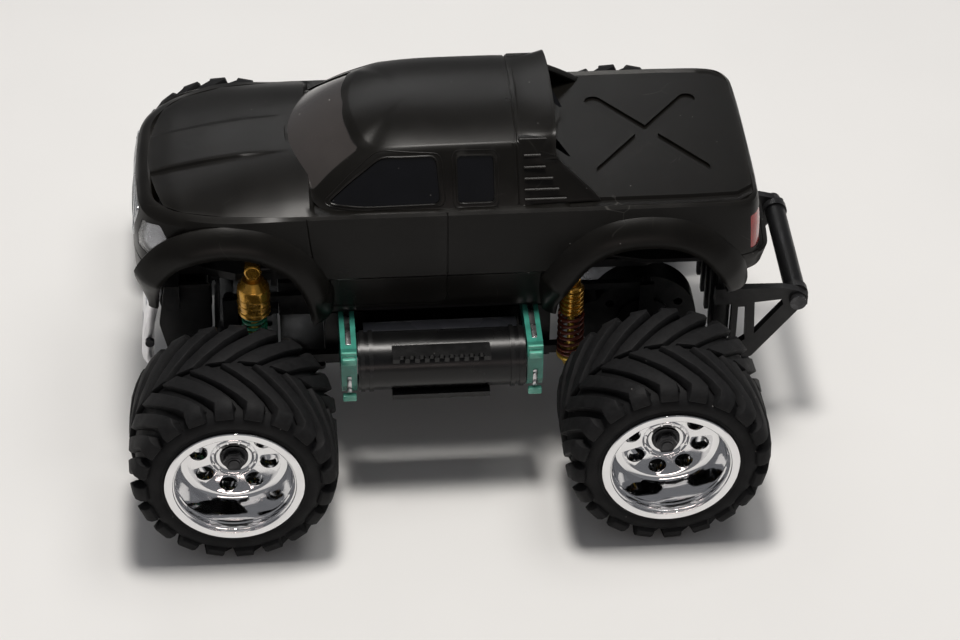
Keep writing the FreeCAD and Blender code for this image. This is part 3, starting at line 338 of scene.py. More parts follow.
def surface(name, colour, roughness, metallic=0.0, vary=0.12, grain=700, rough_vary=0.08, bump=0.12,
            bump_grain=2500, dust=0.0, scratches=0.0, wear=0.0, coat=0.0, clear=0.0, specular=0.5):
    """A surface whose colour, gloss and fine relief vary, with optional dust, scratches and edge wear."""
    mat = bpy.data.materials.new(name)
    mat.use_nodes = True
    nodes, links = mat.node_tree.nodes, mat.node_tree.links

    def fill(node, inputs):
        """Sets each input to a number or a colour, or links it to another node's output."""
        for key, value in inputs.items():
            if isinstance(value, bpy.types.NodeSocket):
                links.new(value, node.inputs[key])
            else:
                node.inputs[key].default_value = value

    def add(kind, inputs, **settings):
        node = nodes.new("ShaderNode" + kind)
        for key, value in settings.items():
            setattr(node, key, value)
        fill(node, inputs)
        return node.outputs

    coords = add("TexCoord", {})["Object"]

    def noise(scale, detail=3.0):
        return add("TexNoise", {"Scale": scale, "Detail": detail, "Vector": coords})["Fac"]

    def remap(value, low, high, out_low, out_high):
        return add("MapRange", {"From Min": low, "From Max": high, "To Min": out_low, "To Max": out_high,
                                "Value": value})["Result"]

    def times(a, b):
        return add("Math", {0: a, 1: b}, operation="MULTIPLY")[0]

    def mix(amount, base, other):
        base, other = ((*value, 1) if isinstance(value, tuple) else value for value in (base, other))
        return add("Mix", {"Factor": amount, "A": base, "B": other}, data_type="RGBA")["Result"]

    dark = tuple(c * (1 - vary) for c in colour)
    light = tuple(min(1.0, c * (1 + vary)) for c in colour)
    tint = mix(remap(noise(grain), 0.3, 0.7, 0, 1), dark, light)
    rough = remap(noise(grain * 0.25, 4.0), 0.3, 0.7, roughness - rough_vary, roughness + rough_vary)
    if wear:
        edge = add("NewGeometry", {})["Pointiness"]
        worn = times(remap(edge, 0.52, 0.62, 0, wear), remap(noise(grain * 0.5), 0.35, 0.65, 0.2, 1))
        tint = mix(worn, tint, tuple(min(1.0, c * 4 + 0.06) for c in colour))
    if dust:
        cells = add("TexVoronoi", {"Scale": 230, "Vector": coords})
        chance = add("SeparateColor", {"Color": cells["Color"]})
        speck = times(remap(cells["Distance"], 0.035, 0.06, 1, 0), remap(chance[0], 0.72, 0.78, 0, 1))
        film = remap(noise(60, 5.0), 0.5, 0.8, 0, dust * 0.03)
        tint = mix(film, tint, (0.30, 0.29, 0.27))
        tint = mix(times(speck, remap(chance[1], 0, 1, dust * 0.4, dust)), tint, (0.55, 0.53, 0.5))
    if scratches:
        bend = add("TexNoise", {"Scale": 25, "Vector": coords})["Color"]
        bend = add("VectorMath", {0: bend, "Scale": 0.03}, operation="SCALE")[0]
        warped = add("VectorMath", {0: coords, 1: bend}, operation="ADD")[0]
        lines = add("TexVoronoi", {"Scale": 31, "Vector": warped}, feature="DISTANCE_TO_EDGE")["Distance"]
        hair = times(remap(lines, 0.001, 0.0035, 1, 0), remap(noise(52), 0.60, 0.68, 0, scratches))
        tint = mix(hair, tint, (0.32, 0.31, 0.29))
    relief = add("Bump", {"Strength": bump, "Distance": 0.0002, "Height": noise(bump_grain, 2.0)})["Normal"]
    fill(nodes["Principled BSDF"], {
        "Metallic": metallic, "IOR": 1.45, "Specular IOR Level": specular, "Coat Weight": coat,
        "Coat Roughness": 0.08, "Transmission Weight": clear, "Base Color": tint, "Roughness": rough,
        "Normal": relief})
    return mat


PAINT = surface("satin_black_paint", (0.0050, 0.0045, 0.0038), 0.31, vary=0.10, grain=160, rough_vary=0.04, bump=0.10,
                bump_grain=5200, dust=0.3, scratches=0.12, wear=0.2, specular=0.2)
TANK = surface("satin_black_tank", (0.0035, 0.0035, 0.0037), 0.26, vary=0.1, grain=260, rough_vary=0.06, bump=0.10,
               bump_grain=4200, dust=0.2, scratches=0.1, wear=0.2, specular=0.35)
BLACK = surface("moulded_black", (0.005, 0.005, 0.0055), 0.36, vary=0.18, grain=420, rough_vary=0.09, bump=0.22,
                bump_grain=3000, dust=0.25, wear=0.2, specular=0.3)
GLASS = surface("smoked_side_glass", (0.002, 0.002, 0.003), 0.05, vary=0.3, grain=90, rough_vary=0.02, bump=0.015,
                bump_grain=700, dust=0.1, specular=0.4, coat=0.15)
# Smoked like the side glass, but lighter and warmer: the smoke tint is real, the extra brown-grey lightness is a
# painted sheen of the overhead light on the up-facing windshield.
SCREEN = surface("smoky_windshield_painted_sheen", (0.034, 0.029, 0.027), 0.2, vary=0.14, grain=55, rough_vary=0.05, bump=0.02,
                 bump_grain=900, dust=0.7, specular=0.6, coat=0.5)
RUBBER = surface("tyre_rubber", (0.0066, 0.0066, 0.0072), 0.66, vary=0.22, grain=900, rough_vary=0.10, bump=0.5,
                 bump_grain=3600, dust=0.3, wear=0.12, specular=0.2)
CHROME = surface("plated_chrome", (0.82, 0.82, 0.83), 0.06, metallic=1.0, vary=0.04, grain=220, rough_vary=0.035,
                 bump=0.02, bump_grain=900)
STEEL = surface("bright_steel", (0.52, 0.52, 0.53), 0.3, metallic=1.0, grain=900, rough_vary=0.1, bump=0.08)
DARK_STEEL = surface("blackened_steel", (0.03, 0.03, 0.032), 0.32, metallic=0.7, vary=0.2, wear=0.3)
GOLD = surface("gold_anodised", (0.62, 0.33, 0.045), 0.24, metallic=0.75, vary=0.14, grain=380, rough_vary=0.08,
               bump=0.06, coat=0.3)
GOLD_TIP = surface("yellow_gold_tip", (0.72, 0.47, 0.07), 0.3, metallic=0.55, vary=0.1, grain=380, bump=0.05, coat=0.3)
GREEN_SPRING = surface("green_spring_enamel", (0.035, 0.26, 0.15), 0.25, vary=0.18, grain=600, bump=0.05, coat=0.4)
RED_SPRING = surface("dark_red_spring_enamel", (0.16, 0.035, 0.018), 0.28, metallic=0.3, vary=0.2, grain=600,
                     bump=0.05, coat=0.4)
BOARD = surface("sea_green_board", (0.045, 0.25, 0.19), 0.3, vary=0.22, grain=260, rough_vary=0.1, bump=0.08,
                dust=0.3, coat=0.35)
# A paler copy of the board green: a painted highlight for the lit translucent edges of the boards.
BOARD_EDGE_HIGHLIGHT = surface("green_board_painted_edge_highlight", (0.12, 0.42, 0.32), 0.3, vary=0.15, grain=260, bump=0.06, coat=0.3)
CIRCUIT = surface("circuit_board_green", (0.02, 0.12, 0.06), 0.35, vary=0.3, grain=500, bump=0.15, coat=0.2)
CELL = surface("cell_wrap_grey", (0.2, 0.2, 0.22), 0.3, vary=0.1, grain=200, bump=0.04, coat=0.3)
BRONZE = surface("sintered_bronze", (0.42, 0.27, 0.1), 0.42, metallic=1.0, vary=0.2, grain=1500, bump=0.3)
WHITE = surface("white_moulding", (0.62, 0.61, 0.57), 0.45, vary=0.06, grain=500)
SILVER = surface("silver_trim", (0.52, 0.53, 0.54), 0.26, metallic=0.85, vary=0.1, grain=300, bump=0.05)
LENS = surface("clear_lens", (0.93, 0.94, 0.95), 0.06, vary=0.03, grain=300, rough_vary=0.03, bump=0.12,
               bump_grain=500, clear=0.92)
LAMP = surface("lamp_reflector", (0.42, 0.42, 0.44), 0.24, metallic=0.85, grain=900, rough_vary=0.12,
               bump=0.5, bump_grain=650)
RED = surface("red_lamp_lens", (0.34, 0.012, 0.01), 0.16, vary=0.25, grain=400, rough_vary=0.06, bump=0.14,
              bump_grain=800, coat=0.5)
GUARD = surface("plated_guard", (0.8, 0.8, 0.82), 0.38, metallic=1.0, vary=0.08, grain=260, bump=0.06)

BY_SLOT = {"black_plastic": BLACK, "black_steel": DARK_STEEL, "bare_steel": STEEL, "gold": GOLD, "green_board": BOARD,
           "circuit_board": CIRCUIT, "cell_wrap": CELL, "bronze": BRONZE, "white_plastic": WHITE, "body_black": TANK,
           "chrome_plastic": GUARD, "smoked_glass": GLASS, "clear_lens": LENS, "silver_paint": SILVER, "red_lens": RED,
           "tyre": RUBBER, "green_spring": GREEN_SPRING, "red_spring": RED_SPRING}


# ---- body shell: nose, sides and tail

def straight(y, z, first=0, last=8):
    """The long part of the side, which keeps its width and height."""
    return [(x, y, z) for x in (60, 44, 34, 10, -15, -34, -50, -68)[first:last]]


SHELL_RINGS = [
    [(82.6, 0, 43.6), (82.4, 10, 43.8), (81.4, 19, 49.5), (78.6, 25.2, 52.6), (72.5, 29.4, 52.6),
     *straight(31.6, 50.8, 0, 5), (-34, 31.6, 51.2), (-50, 31.4, 54), (-68, 31.2, 57), (-82, 30, 57.6),
     (-87.4, 27, 58.6), (-88.4, 19, 59), (-88.6, 0, 59)],
    [(84.4, 0, 46.5), (84.2, 10, 46.8), (83.2, 19.6, 52), (80, 26.2, 54.6), (73.2, 30.6, 54.4),
     *straight(32.6, 52.6, 0, 5), (-34, 32.6, 53), (-50, 32.5, 56), (-68, 32.3, 59), (-83, 31.2, 59.6),
     (-89.6, 28.4, 60.6), (-91.2, 20, 61), (-91.4, 0, 61)],
    [(86.4, 0, 58), (86.1, 10, 58.4), (85.1, 20.3, 60), (81.6, 27.4, 61.6), (73.6, 31.7, 62.6),
     *straight(33.3, 63.4), (-83.4, 32.8, 65.6), (-90.6, 29.6, 66.2), (-92.4, 21, 66.2), (-92.7, 0, 66.2)],
    [(86.5, 0, 64), (86.2, 10, 64.2), (85.2, 20.4, 64.6), (81.7, 27.6, 65), (73.6, 32.1, 64.6),
     *straight(34, 64.4), (-83, 33.2, 67.2), (-88.6, 29.8, 67.6), (-89.9, 21, 67.6), (-90.1, 0, 67.6)],
    [(86.2, 0, 73.5), (85.9, 10, 73.6), (84.9, 20.2, 74.4), (81.2, 27.3, 74.8), (73.3, 32, 75.4),
     *straight(34.1, 75.6), (-82.8, 33.4, 76), (-88.2, 30, 76), (-89.4, 21, 76), (-89.6, 0, 76)],
    [(84.6, 0, 80.6), (84.3, 9.8, 80.8), (83.2, 19.2, 81), (79.6, 25.9, 81.4), (72.6, 30.6, 82.2),
     *straight(33.6, 83.6), (-82.4, 33, 83.2), (-87.4, 29.4, 82.8), (-88.4, 20.5, 82.8), (-88.6, 0, 82.8)],
    [(83.4, 0, 82), (83.1, 9.6, 82.2), (82, 18.6, 82.3), (78.6, 24.9, 82.6), (72.2, 29.4, 83.5),
     *straight(33.5, 84.6), (-82.2, 32.8, 84.3), (-87, 29, 84), (-87.9, 20.3, 84), (-88.1, 0, 84)],
    [(81.2, 0, 83.2), (80.9, 9.2, 83.3), (79.8, 17.8, 83.3), (76.6, 23.2, 83.7), (71.4, 27.4, 84.4),
     (60, 31, 85.1), (44, 32.4, 85.3), *straight(32.6, 85.3, 2), (-81.6, 32, 85.1), (-86, 28.4, 84.9),
     (-86.8, 20, 84.9), (-87, 0, 84.9)],
]
WALL = 1.25
SIDE_Y = 33


def around_truck(ring, steps):
    """A left-hand half ring, made whole and smooth."""
    left = [Vector(p) for p in ring]
    right = [Vector((p.x, -p.y, p.z)) for p in reversed(left[1:-1])]
    return smooth_line(left + right, steps, closed=True)


def shell_band():
    rings = [around_truck(ring, 7) for ring in SHELL_RINGS]
    rows = []
    for lower, upper, steps in zip(rings, rings[1:], (2, 3, 2, 4, 3, 2, 2)):
        for k in range(steps):
            t = k / steps
            rows.append([a.lerp(b, t) for a, b in zip(lower, upper)])
    rows.append(rings[-1])
    return grid(rows, wrap_columns=True)


TOP_EDGE = sorted((p[0], p[1], p[2]) for p in SHELL_RINGS[-1][3:-2])
HOOD_LINE = [(-90, 85.9), (-40, 86.1), (34, 88), (36, 90.9), (43.5, 90.5), (54.5, 89.3), (65, 87.4), (74, 85.5),
             (81.3, 83.5)]
CREASE_SHARE = 0.412


def top_point(x, share):
    """A point on the hood, cab floor or bed cover; share runs from 0 at the middle to 1 at the edge."""
    half = blend_value([(p[0], p[1]) for p in TOP_EDGE], x)
    edge = blend_value([(p[0], p[2]) for p in TOP_EDGE], x)
    part = abs(share)
    nose = 4.5 * (1 - part ** 2) * ease((x - 52) / 24.6)
    tail = -1.0 * (1 - part ** 2) * ease((-70 - x) / 16)
    x += nose + tail
    crown = blend_value(HOOD_LINE, x)
    if x > 36:
        crease = 8.6 / half
        if part < CREASE_SHARE:
            part *= crease / CREASE_SHARE
        else:
            part = crease + (part - CREASE_SHARE) * (1 - crease) / (1 - CREASE_SHARE)
        share = copysign(part, share)
        z = edge + (crown - edge) * (1 - part ** 3.0)
        ridge = 0.9 * ease((x - 40) / 26)
        z += ridge * (1 - ease((part - crease + 0.012) / 0.03))
    elif x < -34:
        z = 85.5 + 0.35 * (1 - part ** 2)
        z -= 0.85 * ease((part - 0.885) / 0.018)
        z = z if part < 0.97 else edge
    else:
        z = edge + 0.3 * (1 - part)
    return Vector((x, half * share, z))


def shell_top():
    shares = [0, 0.07, 0.14, 0.21, 0.28, 0.34, 0.39, 0.405, 0.42, 0.435, 0.47, 0.54, 0.61, 0.68, 0.75, 0.82, 0.87,
              0.885, 0.894, 0.903, 0.93, 0.965, 1]
    shares = [-s for s in reversed(shares[1:])] + shares
    front, back = SHELL_RINGS[-1][3][0], SHELL_RINGS[-1][-3][0]
    count = 118
    stations = [front + (back - front) * k / count for k in range(count + 1)]
    return grid([[top_point(x, s) for s in shares] for x in stations])


# ---- cabin

CABIN_KEYS = [
    ((43.6, 0, 90.0), (24.6, 0, 101.0)), ((42.4, 10, 89.5), (23.9, 8, 100.8)), ((39.8, 19, 88.2), (22.0, 15, 99.9)),
    ((36.6, 25, 86.6), (19.4, 18.9, 98.7)), ((32.6, 29.4, 85.2), (15.6, 20.7, 98.9)),
    ((24, 30.9, 84.9), (10, 21.3, 99.3)), ((8, 31.2, 84.8), (2, 21.5, 99.6)), ((-10, 31.2, 84.8), (-10, 21.5, 99.7)),
    ((-21, 31.1, 84.8), (-18.6, 21.4, 99.7)), ((-26.4, 30.2, 84.8), (-21.2, 20.8, 99.7)),
    ((-28.4, 24, 84.8), (-22.6, 15, 101.4)), ((-28.8, 0, 84.8), (-22.8, 0, 102.7)),
]
CROWN = 102.95


def cabin_surface():
    """The pillars and the domed roof, from the belt line up to the spine."""
    base = around_truck([k[0] for k in CABIN_KEYS], 8)
    edge = around_truck([k[1] for k in CABIN_KEYS], 8)
    rows = []
    for k in range(10):
        t = k / 10
        swell = 0.9 * sin(pi * t)
        ring = []
        for low, high in zip(base, edge):
            point = low.lerp(high, t)
            out = Vector((point.x - 5, point.y * 1.6, 0)).normalized()
            ring.append(point + out * swell)
        rows.append(ring)
    rows.append(edge)
    for t in (0.03, 0.08, 0.15, 0.25, 0.38, 0.55, 0.75, 1.0):
        ring = []
        for point in edge:
            spine = Vector((max(-21.5, min(7.0, point.x)), 0, CROWN))
            flat = point.lerp(spine, t)
            flat.z = point.z + (CROWN - point.z) * (1 - (1 - t) ** 2.6)
            ring.append(flat)
        rows.append(ring)
    return grid(rows, wrap_columns=True)


# ---- openings and grooves

FRONT_ARCH = [(79.4, 54.6), (78.9, 60.5), (76.9, 66.6), (71.2, 72.6), (62, 75.0), (54, 74.2), (48.4, 71.6),
              (43.4, 67.8), (39.8, 61.4), (37.6, 54), (37.1, 50)]
REAR_ARCH = [(-32.0, 50), (-33.0, 55.4), (-36.9, 62.0), (-41.1, 67.7), (-47.2, 71.9), (-55.1, 73.4), (-63.7, 72.7),
             (-70.4, 69.4), (-75.4, 63.8), (-79.2, 57.6), (-79.6, 55)]
FRONT_ARCH_MIDDLE, REAR_ARCH_MIDDLE = (59, 52), (-57, 52)


def arch_tool(points, side):
    line = flat_curve(points)
    outline = [(line[0][0] + 0.4, 38)] + line + [(line[-1][0] - 0.4, 38)]
    return slab(outline, "XZ", *sorted((side * 19, side * 50)))


DOOR_GLASS = rounded([(32.0, 86.7), (25.4, 91.8), (16.8, 97.2), (1.4, 97.6), (0.5, 86.3), (22, 86.0)], 2.2)
REAR_GLASS = rounded([(-3.9, 86.3), (-3.9, 97.5), (-14.4, 97.4), (-14.4, 86.3)], 1.5)
SCREEN_OUTLINE = rounded([(-24.3, 87.6), (-16, 89.6), (0, 90.9), (16, 89.6), (24.3, 87.6), (18.6, 98.0), (12, 99.3),
                          (0, 100.3), (-12, 99.3), (-18.6, 98.0)], 1.6)
BACK_OUTLINE = rounded([(-22, 87.5), (22, 87.5), (16, 97.4), (-16, 97.4)], 2)
LAMP_OUTLINE = rounded([(84.4, 78.4), (77.7, 80.8), (74.5, 74.8), (79.9, 70.4), (87.5, 71.2)], 0.8)
TAIL_OUTLINE = rounded([(-85.4, 79.8), (-92, 80.4), (-92, 68.3), (-86.2, 68.3)], 0.6)
GRILLE_OUTLINE = rounded([(-18, 70.5), (18, 70.5), (18.6, 79.6), (-18.6, 79.6)], 1.2)


def side_pair(outline, near, far):
    """Tools that cut the same outline, in x and z, out of both sides."""
    return [slab(outline, "XZ", *sorted((side * near, side * far))) for side in SIDES]


SIDE_GLASS_TOOLS = side_pair(DOOR_GLASS, 17, 44) + side_pair(REAR_GLASS, 17, 44)
SCREEN_TOOL = slab(SCREEN_OUTLINE, "YZ", 15, 60)
BACK_TOOL = slab(BACK_OUTLINE, "YZ", -40, -15)
LAMP_TOOLS = side_pair(LAMP_OUTLINE, 22.4, 44)
TAIL_TOOLS = side_pair(TAIL_OUTLINE, 24, 44)
GRILLE_TOOL = slab(GRILLE_OUTLINE, "YZ", 80, 92)


def lying_on(tree, points, direction):
    """The points where rays along a direction first meet a surface."""
    hits = [tree.ray_cast(row(Vector(point)), Vector(direction))[0] for point in points]
    return [in_mm(hit) for hit in hits if hit is not None]


def tree_of(obj):
    return BVHTree.FromPolygons([v.co for v in obj.data.vertices], [tuple(p.vertices) for p in obj.data.polygons])


def along(points, gap=0.8):
    """Evenly dense points on straight runs between the given ones."""
    line = []
    for a, b in zip(points, points[1:]):
        a, b = Vector(a), Vector(b)
        count = max(1, int((b - a).length / gap))
        line += [a.lerp(b, k / count) for k in range(count)]
    return line + [Vector(points[-1])]


def side_line(tree, outline, side, closed=False):
    """An outline in x and z, laid on the side of the truck."""
    points = [(x, 0, z) for x, z in outline]
    if closed:
        points.append(points[0])
    points = [Vector((p.x, side * 80, p.z)) for p in along(points)]
    return lying_on(tree, points, (0, -side, 0))


SEAM = 0.24


def band_grooves(tree):
    tools = []
    for side in SIDES:
        door = [(37.6, 85.6), (36.9, 78), (35.4, 66), (34.2, 56), (33.6, 53.9), (1.8, 53.6), (-0.4, 54.2),
                (-1.1, 56.4), (-1.1, 86)]
        bumper_front = [(88, 66.6), (80, 66.6), (77.6, 67.2)]
        bumper_rear = [(-79.2, 60.5), (-81.5, 66.6), (-92, 67.0)]
        for outline in (door, bumper_rear, bumper_front):
            tools.append(tube(side_line(tree, outline, side), SEAM, 6))
    for outline in ([(-25, 69.6), (-25.6, 84)], [(25, 69.6), (25.6, 84)]):
        points = [(-120, p.x, p.y) for p in along([(y, z, 0) for y, z in outline])]
        tools.append(tube(lying_on(tree, points, (1, 0, 0)), SEAM, 6))
    return tools


def cross_recess():
    """The X pressed into the bed cover, its arms round at the ends."""
    width = 2.55
    parts = []
    for side in SIDES:
        a, b = Vector((-46.4, side * 16.6)), Vector((-73.4, -side * 16.6))
        forward = (b - a).normalized()
        outline = []
        for end, turn in ((a, pi), (b, 0)):
            start = atan2(forward.y, forward.x) + turn - pi / 2
            outline += [(end.x + width * cos(start + pi * k / 10),
                         end.y + width * sin(start + pi * k / 10)) for k in range(11)]
        parts.append(slab(outline, "XY", 85.0, 90))
    return parts


def flare(points, side):
    """A rounded lip that follows a wheel arch."""
    line = [Vector(p) for p in flat_curve(points, 7)]
    section = [(8.4, 33.6), (7.6, 34.9), (6.2, 36.4), (4.5, 37.5), (2.9, 38.2), (1.5, 38.5), (0.7, 38.3), (0.5, 37.6),
               (0.9, 37.2), (0.8, 36.6), (0.2, 36.2), (0.0, 35.5), (-0.1, 34.4), (-0.1, 31.9), (5.5, 31.9), (8.0, 32.6)]
    rows = []
    for i, point in enumerate(line):
        ahead, behind = line[min(i + 1, len(line) - 1)], line[max(i - 1, 0)]
        forward = (ahead - behind).normalized()
        normal = Vector((-forward.y, forward.x))
        from_hub = point - Vector(FRONT_ARCH_MIDDLE if point.x > 0 else REAR_ARCH_MIDDLE)
        if (from_hub + normal).length < from_hub.length:
            normal = -normal
        share = i / (len(line) - 1)
        start = 0.05 if point.x > 0 else 0.3
        fade = min(1.0, start + 2.6 * ease(share * 2.4), 0.4 + 4.0 * (1 - share))
        nose_in = max(0.0, point.x - 70) * 0.28
        tail_in = max(0.0, -74 - point.x) * 0.18
        lift, reach = 0.3 + 0.7 * fade, 0.25 + 0.75 * fade
        rows.append([Vector((point.x + normal.x * out * lift,
                             side * (SIDE_Y + (y - SIDE_Y) * reach - nose_in - tail_in),
                             point.y + normal.y * out * lift)) for out, y in section])
    return capped(rows)


def inset_skin(part, depth):
    """A surface moved inwards along its own normals."""
    mesh = mesh_of("inset", part)
    points = [in_mm(v.co) - v.normal * depth for v in mesh.vertices]
    faces = [tuple(p.vertices) for p in mesh.polygons]
    bpy.data.meshes.remove(mesh)
    return points, faces


def set_in(name, skin, depth, wall, tools, finish, slot, stands_for=(), angle=32):
    """The part of a skin that fills an opening, set in behind its edge."""
    obj = raw(name, inset_skin(SKINS[skin], depth))
    thicken(obj, wall)
    carve(obj, tools, "INTERSECT")
    finish_piece(obj, "shell", finish, slot, stands_for, angle)


# The shell's three outer surfaces, without thickness.
SKINS = {"band": shell_band(), "top": shell_top(), "cabin": cabin_surface()}


SHELL_LOOK = ("shell", PAINT, "body_black")


def build_body():
    band = raw("shell_sides", SKINS["band"])
    tree = tree_of(band)
    thicken(band, WALL)
    tools = [arch_tool(points, side) for points in (FRONT_ARCH, REAR_ARCH) for side in SIDES]
    carve(band, tools + LAMP_TOOLS + TAIL_TOOLS + [GRILLE_TOOL])
    carve(band, band_grooves(tree))
    finish_piece(band, *SHELL_LOOK, ("body_shell",), angle=28)

    top = raw("shell_hood_and_bed", SKINS["top"])
    thicken(top, WALL)
    under_cabin = slab([(34, -27), (34, 27), (-26, 27), (-26, -27)], "XY", 70, 99)
    carve(top, [under_cabin])
    carve(top, cross_recess())
    finish_piece(top, *SHELL_LOOK, angle=24)

    cabin = raw("shell_cabin", SKINS["cabin"])
    cabin_tree = tree_of(cabin)
    thicken(cabin, WALL)
    carve(cabin, SIDE_GLASS_TOOLS + [SCREEN_TOOL, BACK_TOOL])
    seam = [tube(side_line(cabin_tree, [(-21.0, 85), (-20.6, 99.2)], side), SEAM, 6) for side in SIDES]
    roof = [(-20.6, y, 120) for y in range(-22, 23)]
    seam.append(tube(lying_on(cabin_tree, roof, (0, 0, -1)), SEAM, 6))
    carve(cabin, seam)
    finish_piece(cabin, *SHELL_LOOK, angle=30)

    # The front glass's finish carries a painted sheen.
    for name, tools, finish, stands_for in (
            ("side_glass", SIDE_GLASS_TOOLS, GLASS, "side_windows"),
            ("front_glass", [SCREEN_TOOL], SCREEN, "windshield"), ("back_glass", [BACK_TOOL], GLASS, "rear_window")):
        set_in(name, "cabin", 0.45, 0.7, tools, finish, "smoked_glass", (stands_for,), 30)

    beads = []
    for side in SIDES:
        for outline, grow in ((DOOR_GLASS, 0), (DOOR_GLASS, 1.35), (REAR_GLASS, 0), (REAR_GLASS, 1.35)):
            centre = Vector((sum(p[0] for p in outline) / len(outline), sum(p[1] for p in outline) / len(outline)))
            wide = [Vector(p) + (Vector(p) - centre).normalized() * grow for p in outline]
            wide = [(p.x, max(85.4, p.y)) for p in wide]
            line = side_line(cabin_tree, wide, side, closed=True)[:-1]
            beads.append(tube(line, 0.3 if grow == 0 else 0.17, 8, closed=True))
    piece("window_beads", gathered(beads), *SHELL_LOOK)

    set_in("headlight_lenses", "band", 0.1, 0.6, LAMP_TOOLS, LENS, "clear_lens", ("headlights",))
    set_in("headlight_bowls", "band", 1.5, 0.6, LAMP_TOOLS, LAMP, "silver_paint")
    set_in("tail_lenses", "band", 0.15, 0.6, TAIL_TOOLS, RED, "red_lens", ("tail_lights",))

    flares = [flare(points, side) for points in (FRONT_ARCH, REAR_ARCH) for side in SIDES]
    piece("arch_flares", gathered(flares), *SHELL_LOOK, angle=42)


build_body()


# ---- spoiler, sails, louvres and grille

def cabin_side_y(z):
    """Half-width of the cabin's side at a height."""
    belt, roof = CABIN_KEYS[8]
    t = (z - belt[2]) / (roof[2] - belt[2])
    return belt[1] + (roof[1] - belt[1]) * t + 0.8 * sin(pi * max(0.0, min(1.0, t)))


def sail(side):
    """The cab's rear pillar, which sweeps down to the bed cover."""
    outer, inner = [], []
    for k in range(15):
        z = 84.9 + (100.6 - 84.9) * k / 14
        back = blend_value([(84.9, -44), (86.5, -42.6), (90, -38.4), (94.2, -33.2), (96, -31.9), (99.9, -31.4)], z)
        shares = [s / 8 for s in range(9)]
        outer.append([Vector((-21.2 + (back + 21.2) * s, side * (cabin_side_y(z) + 0.05 - 1.4 * s * (z < 95)), z))
                      for s in shares])
        inner.append([Vector((p.x + (0.8 if s == 1 else 0), p.y - side * 2.4, p.z))
                      for p, s in zip(outer[-1], shares)])
    return capped([out + list(reversed(deep)) for out, deep in zip(outer, inner)])


def spoiler():
    """The wing that carries the roof line back over the bed."""
    rows = []
    for k in range(9):
        t = k / 8
        upper, lower = [], []
        for j in range(33):
            u = -1 + 2 * j / 32
            part = abs(u)
            half = 21.5 + (24.2 - 21.5) * t
            roof = 99.9 + (102.95 - 99.9) * (1 - part ** 2.4)
            wing = 103.7 - 3.0 * part ** 3 - 3.6 * max(0.0, part - 0.86) / 0.14
            x = -20.9 - 11.4 * t + 0.9 * part ** 3 * t
            z = roof + (wing - roof) * t - 0.5 * sin(pi * t)
            upper.append(Vector((x, half * u, z)))
            lower.append(Vector((x + 0.3, half * u * 0.985, z - 2.3 + 1.2 * t)))
        rows.append(upper + list(reversed(lower)))
    return capped(rows)


def louvres():
    slats = []
    for side in SIDES:
        for z, end in ((97.0, -27.2), (94.4, -28.4), (91.8, -30.4), (89.2, -32.0), (86.8, -34.0)):
            y = cabin_side_y(z)
            line = [(x, side * (y + 0.28), z) for x in (-22.6, (end - 22.6) / 2, end)]
            slats.append(tube(line, 0.42, 8))
    return gathered(slats)


piece("roof_wing", spoiler(), *SHELL_LOOK, ("roof_spoiler",), edge=0.25, angle=30)
piece("rear_pillars", gathered([sail(1), sail(-1)]), *SHELL_LOOK, edge=0.3, angle=30)
piece("pillar_louvres", louvres(), *SHELL_LOOK)


def grille():
    """Level and upright bars and a rim, all laid just behind the nose's own curve."""
    tree = BVHTree.FromPolygons([row(p) for p in SKINS["band"][0]], SKINS["band"][1])

    def bar(outline, depth, radius, sides=8, closed=False):
        line = lying_on(tree, [(120, y, z) for y, z in outline], (-1, 0, 0))
        return tube([(p.x - depth, p.y, p.z) for p in line], radius, sides, closed)

    bars = [bar([(y, z) for y in range(-18, 19)], 0.75, 0.5) for z in (71.8, 73.9, 76.0, 78.1)]
    bars += [bar([(y, z * 0.5) for z in range(142, 159)], 1.0, 0.3, 6) for y in (-12, -6, 0, 6, 12)]
    return gathered(bars + [bar(GRILLE_OUTLINE, 0.1, 0.55, closed=True)])


piece("grille_bars", grille(), "shell", SILVER, "silver_paint", ("grille",))
set_in("grille_backing", "band", 1.7, 0.5, [GRILLE_TOOL], BLACK, "silver_paint")


# ---- tyres, rims and nuts

LUGS = 20
TREAD = [(0.4, 28.85, 27.0), (4.0, 28.9, 27.0), (9.0, 28.9, 26.9), (13.0, 28.7, 26.6), (15.6, 28.2, 25.8),
         (17.3, 27.0, 24.8), (18.35, 25.4, 23.9), (18.7, 23.8, 23.2)]


def lug(turn, half):
    """One slanted bar of the tread, which wraps over the shoulder."""
    rows = []
    for i, (across, top, base) in enumerate(TREAD):
        sweep = -radians(2.05) * min(across, 15.6)
        angle = turn + sweep
        wide = 2.55 if across < 14 else 2.35
        deep = 1.0 if i < 5 else 0.62
        for_base, for_top = (wide + 0.75) / base, wide / top
        if i >= 5:
            out = across + 0.25 * deep
            level = {5: 27.5, 6: 26.2, 7: 24.4}[i]
            corners = [(base - 0.6, across - 2.6, -for_base), (level, out, -for_top), (level, out, for_top),
                       (base - 0.6, across - 2.6, for_base)]
        else:
            corners = [(base, across, -for_base), (top, across, -for_top), (top, across, for_top),
                       (base, across, for_base)]
        rows.append([Vector((r * sin(angle + da), half * y, r * cos(angle + da)))
                     for r, y, da in corners])
    return capped(rows)


def carcass():
    """The tyre without its tread bars."""
    outer = [(18.5, 16.6), (18.9, 17.9), (19.8, 18.3), (20.2, 18.15), (20.6, 18.4), (21.6, 18.55), (22.6, 18.5),
             (23.6, 18.0), (24.5, 17.0), (25.3, 15.4), (26.2, 12.8), (26.8, 9.2), (27.1, 4.5), (27.15, 0)]
    return lathe(outer + [(r, -y) for r, y in reversed(outer[:-1])], 120)


def tread():
    return gathered([lug(2 * pi * (k + (0.5 if half < 0 else 0)) / LUGS, half)
                     for k in range(LUGS) for half in SIDES])


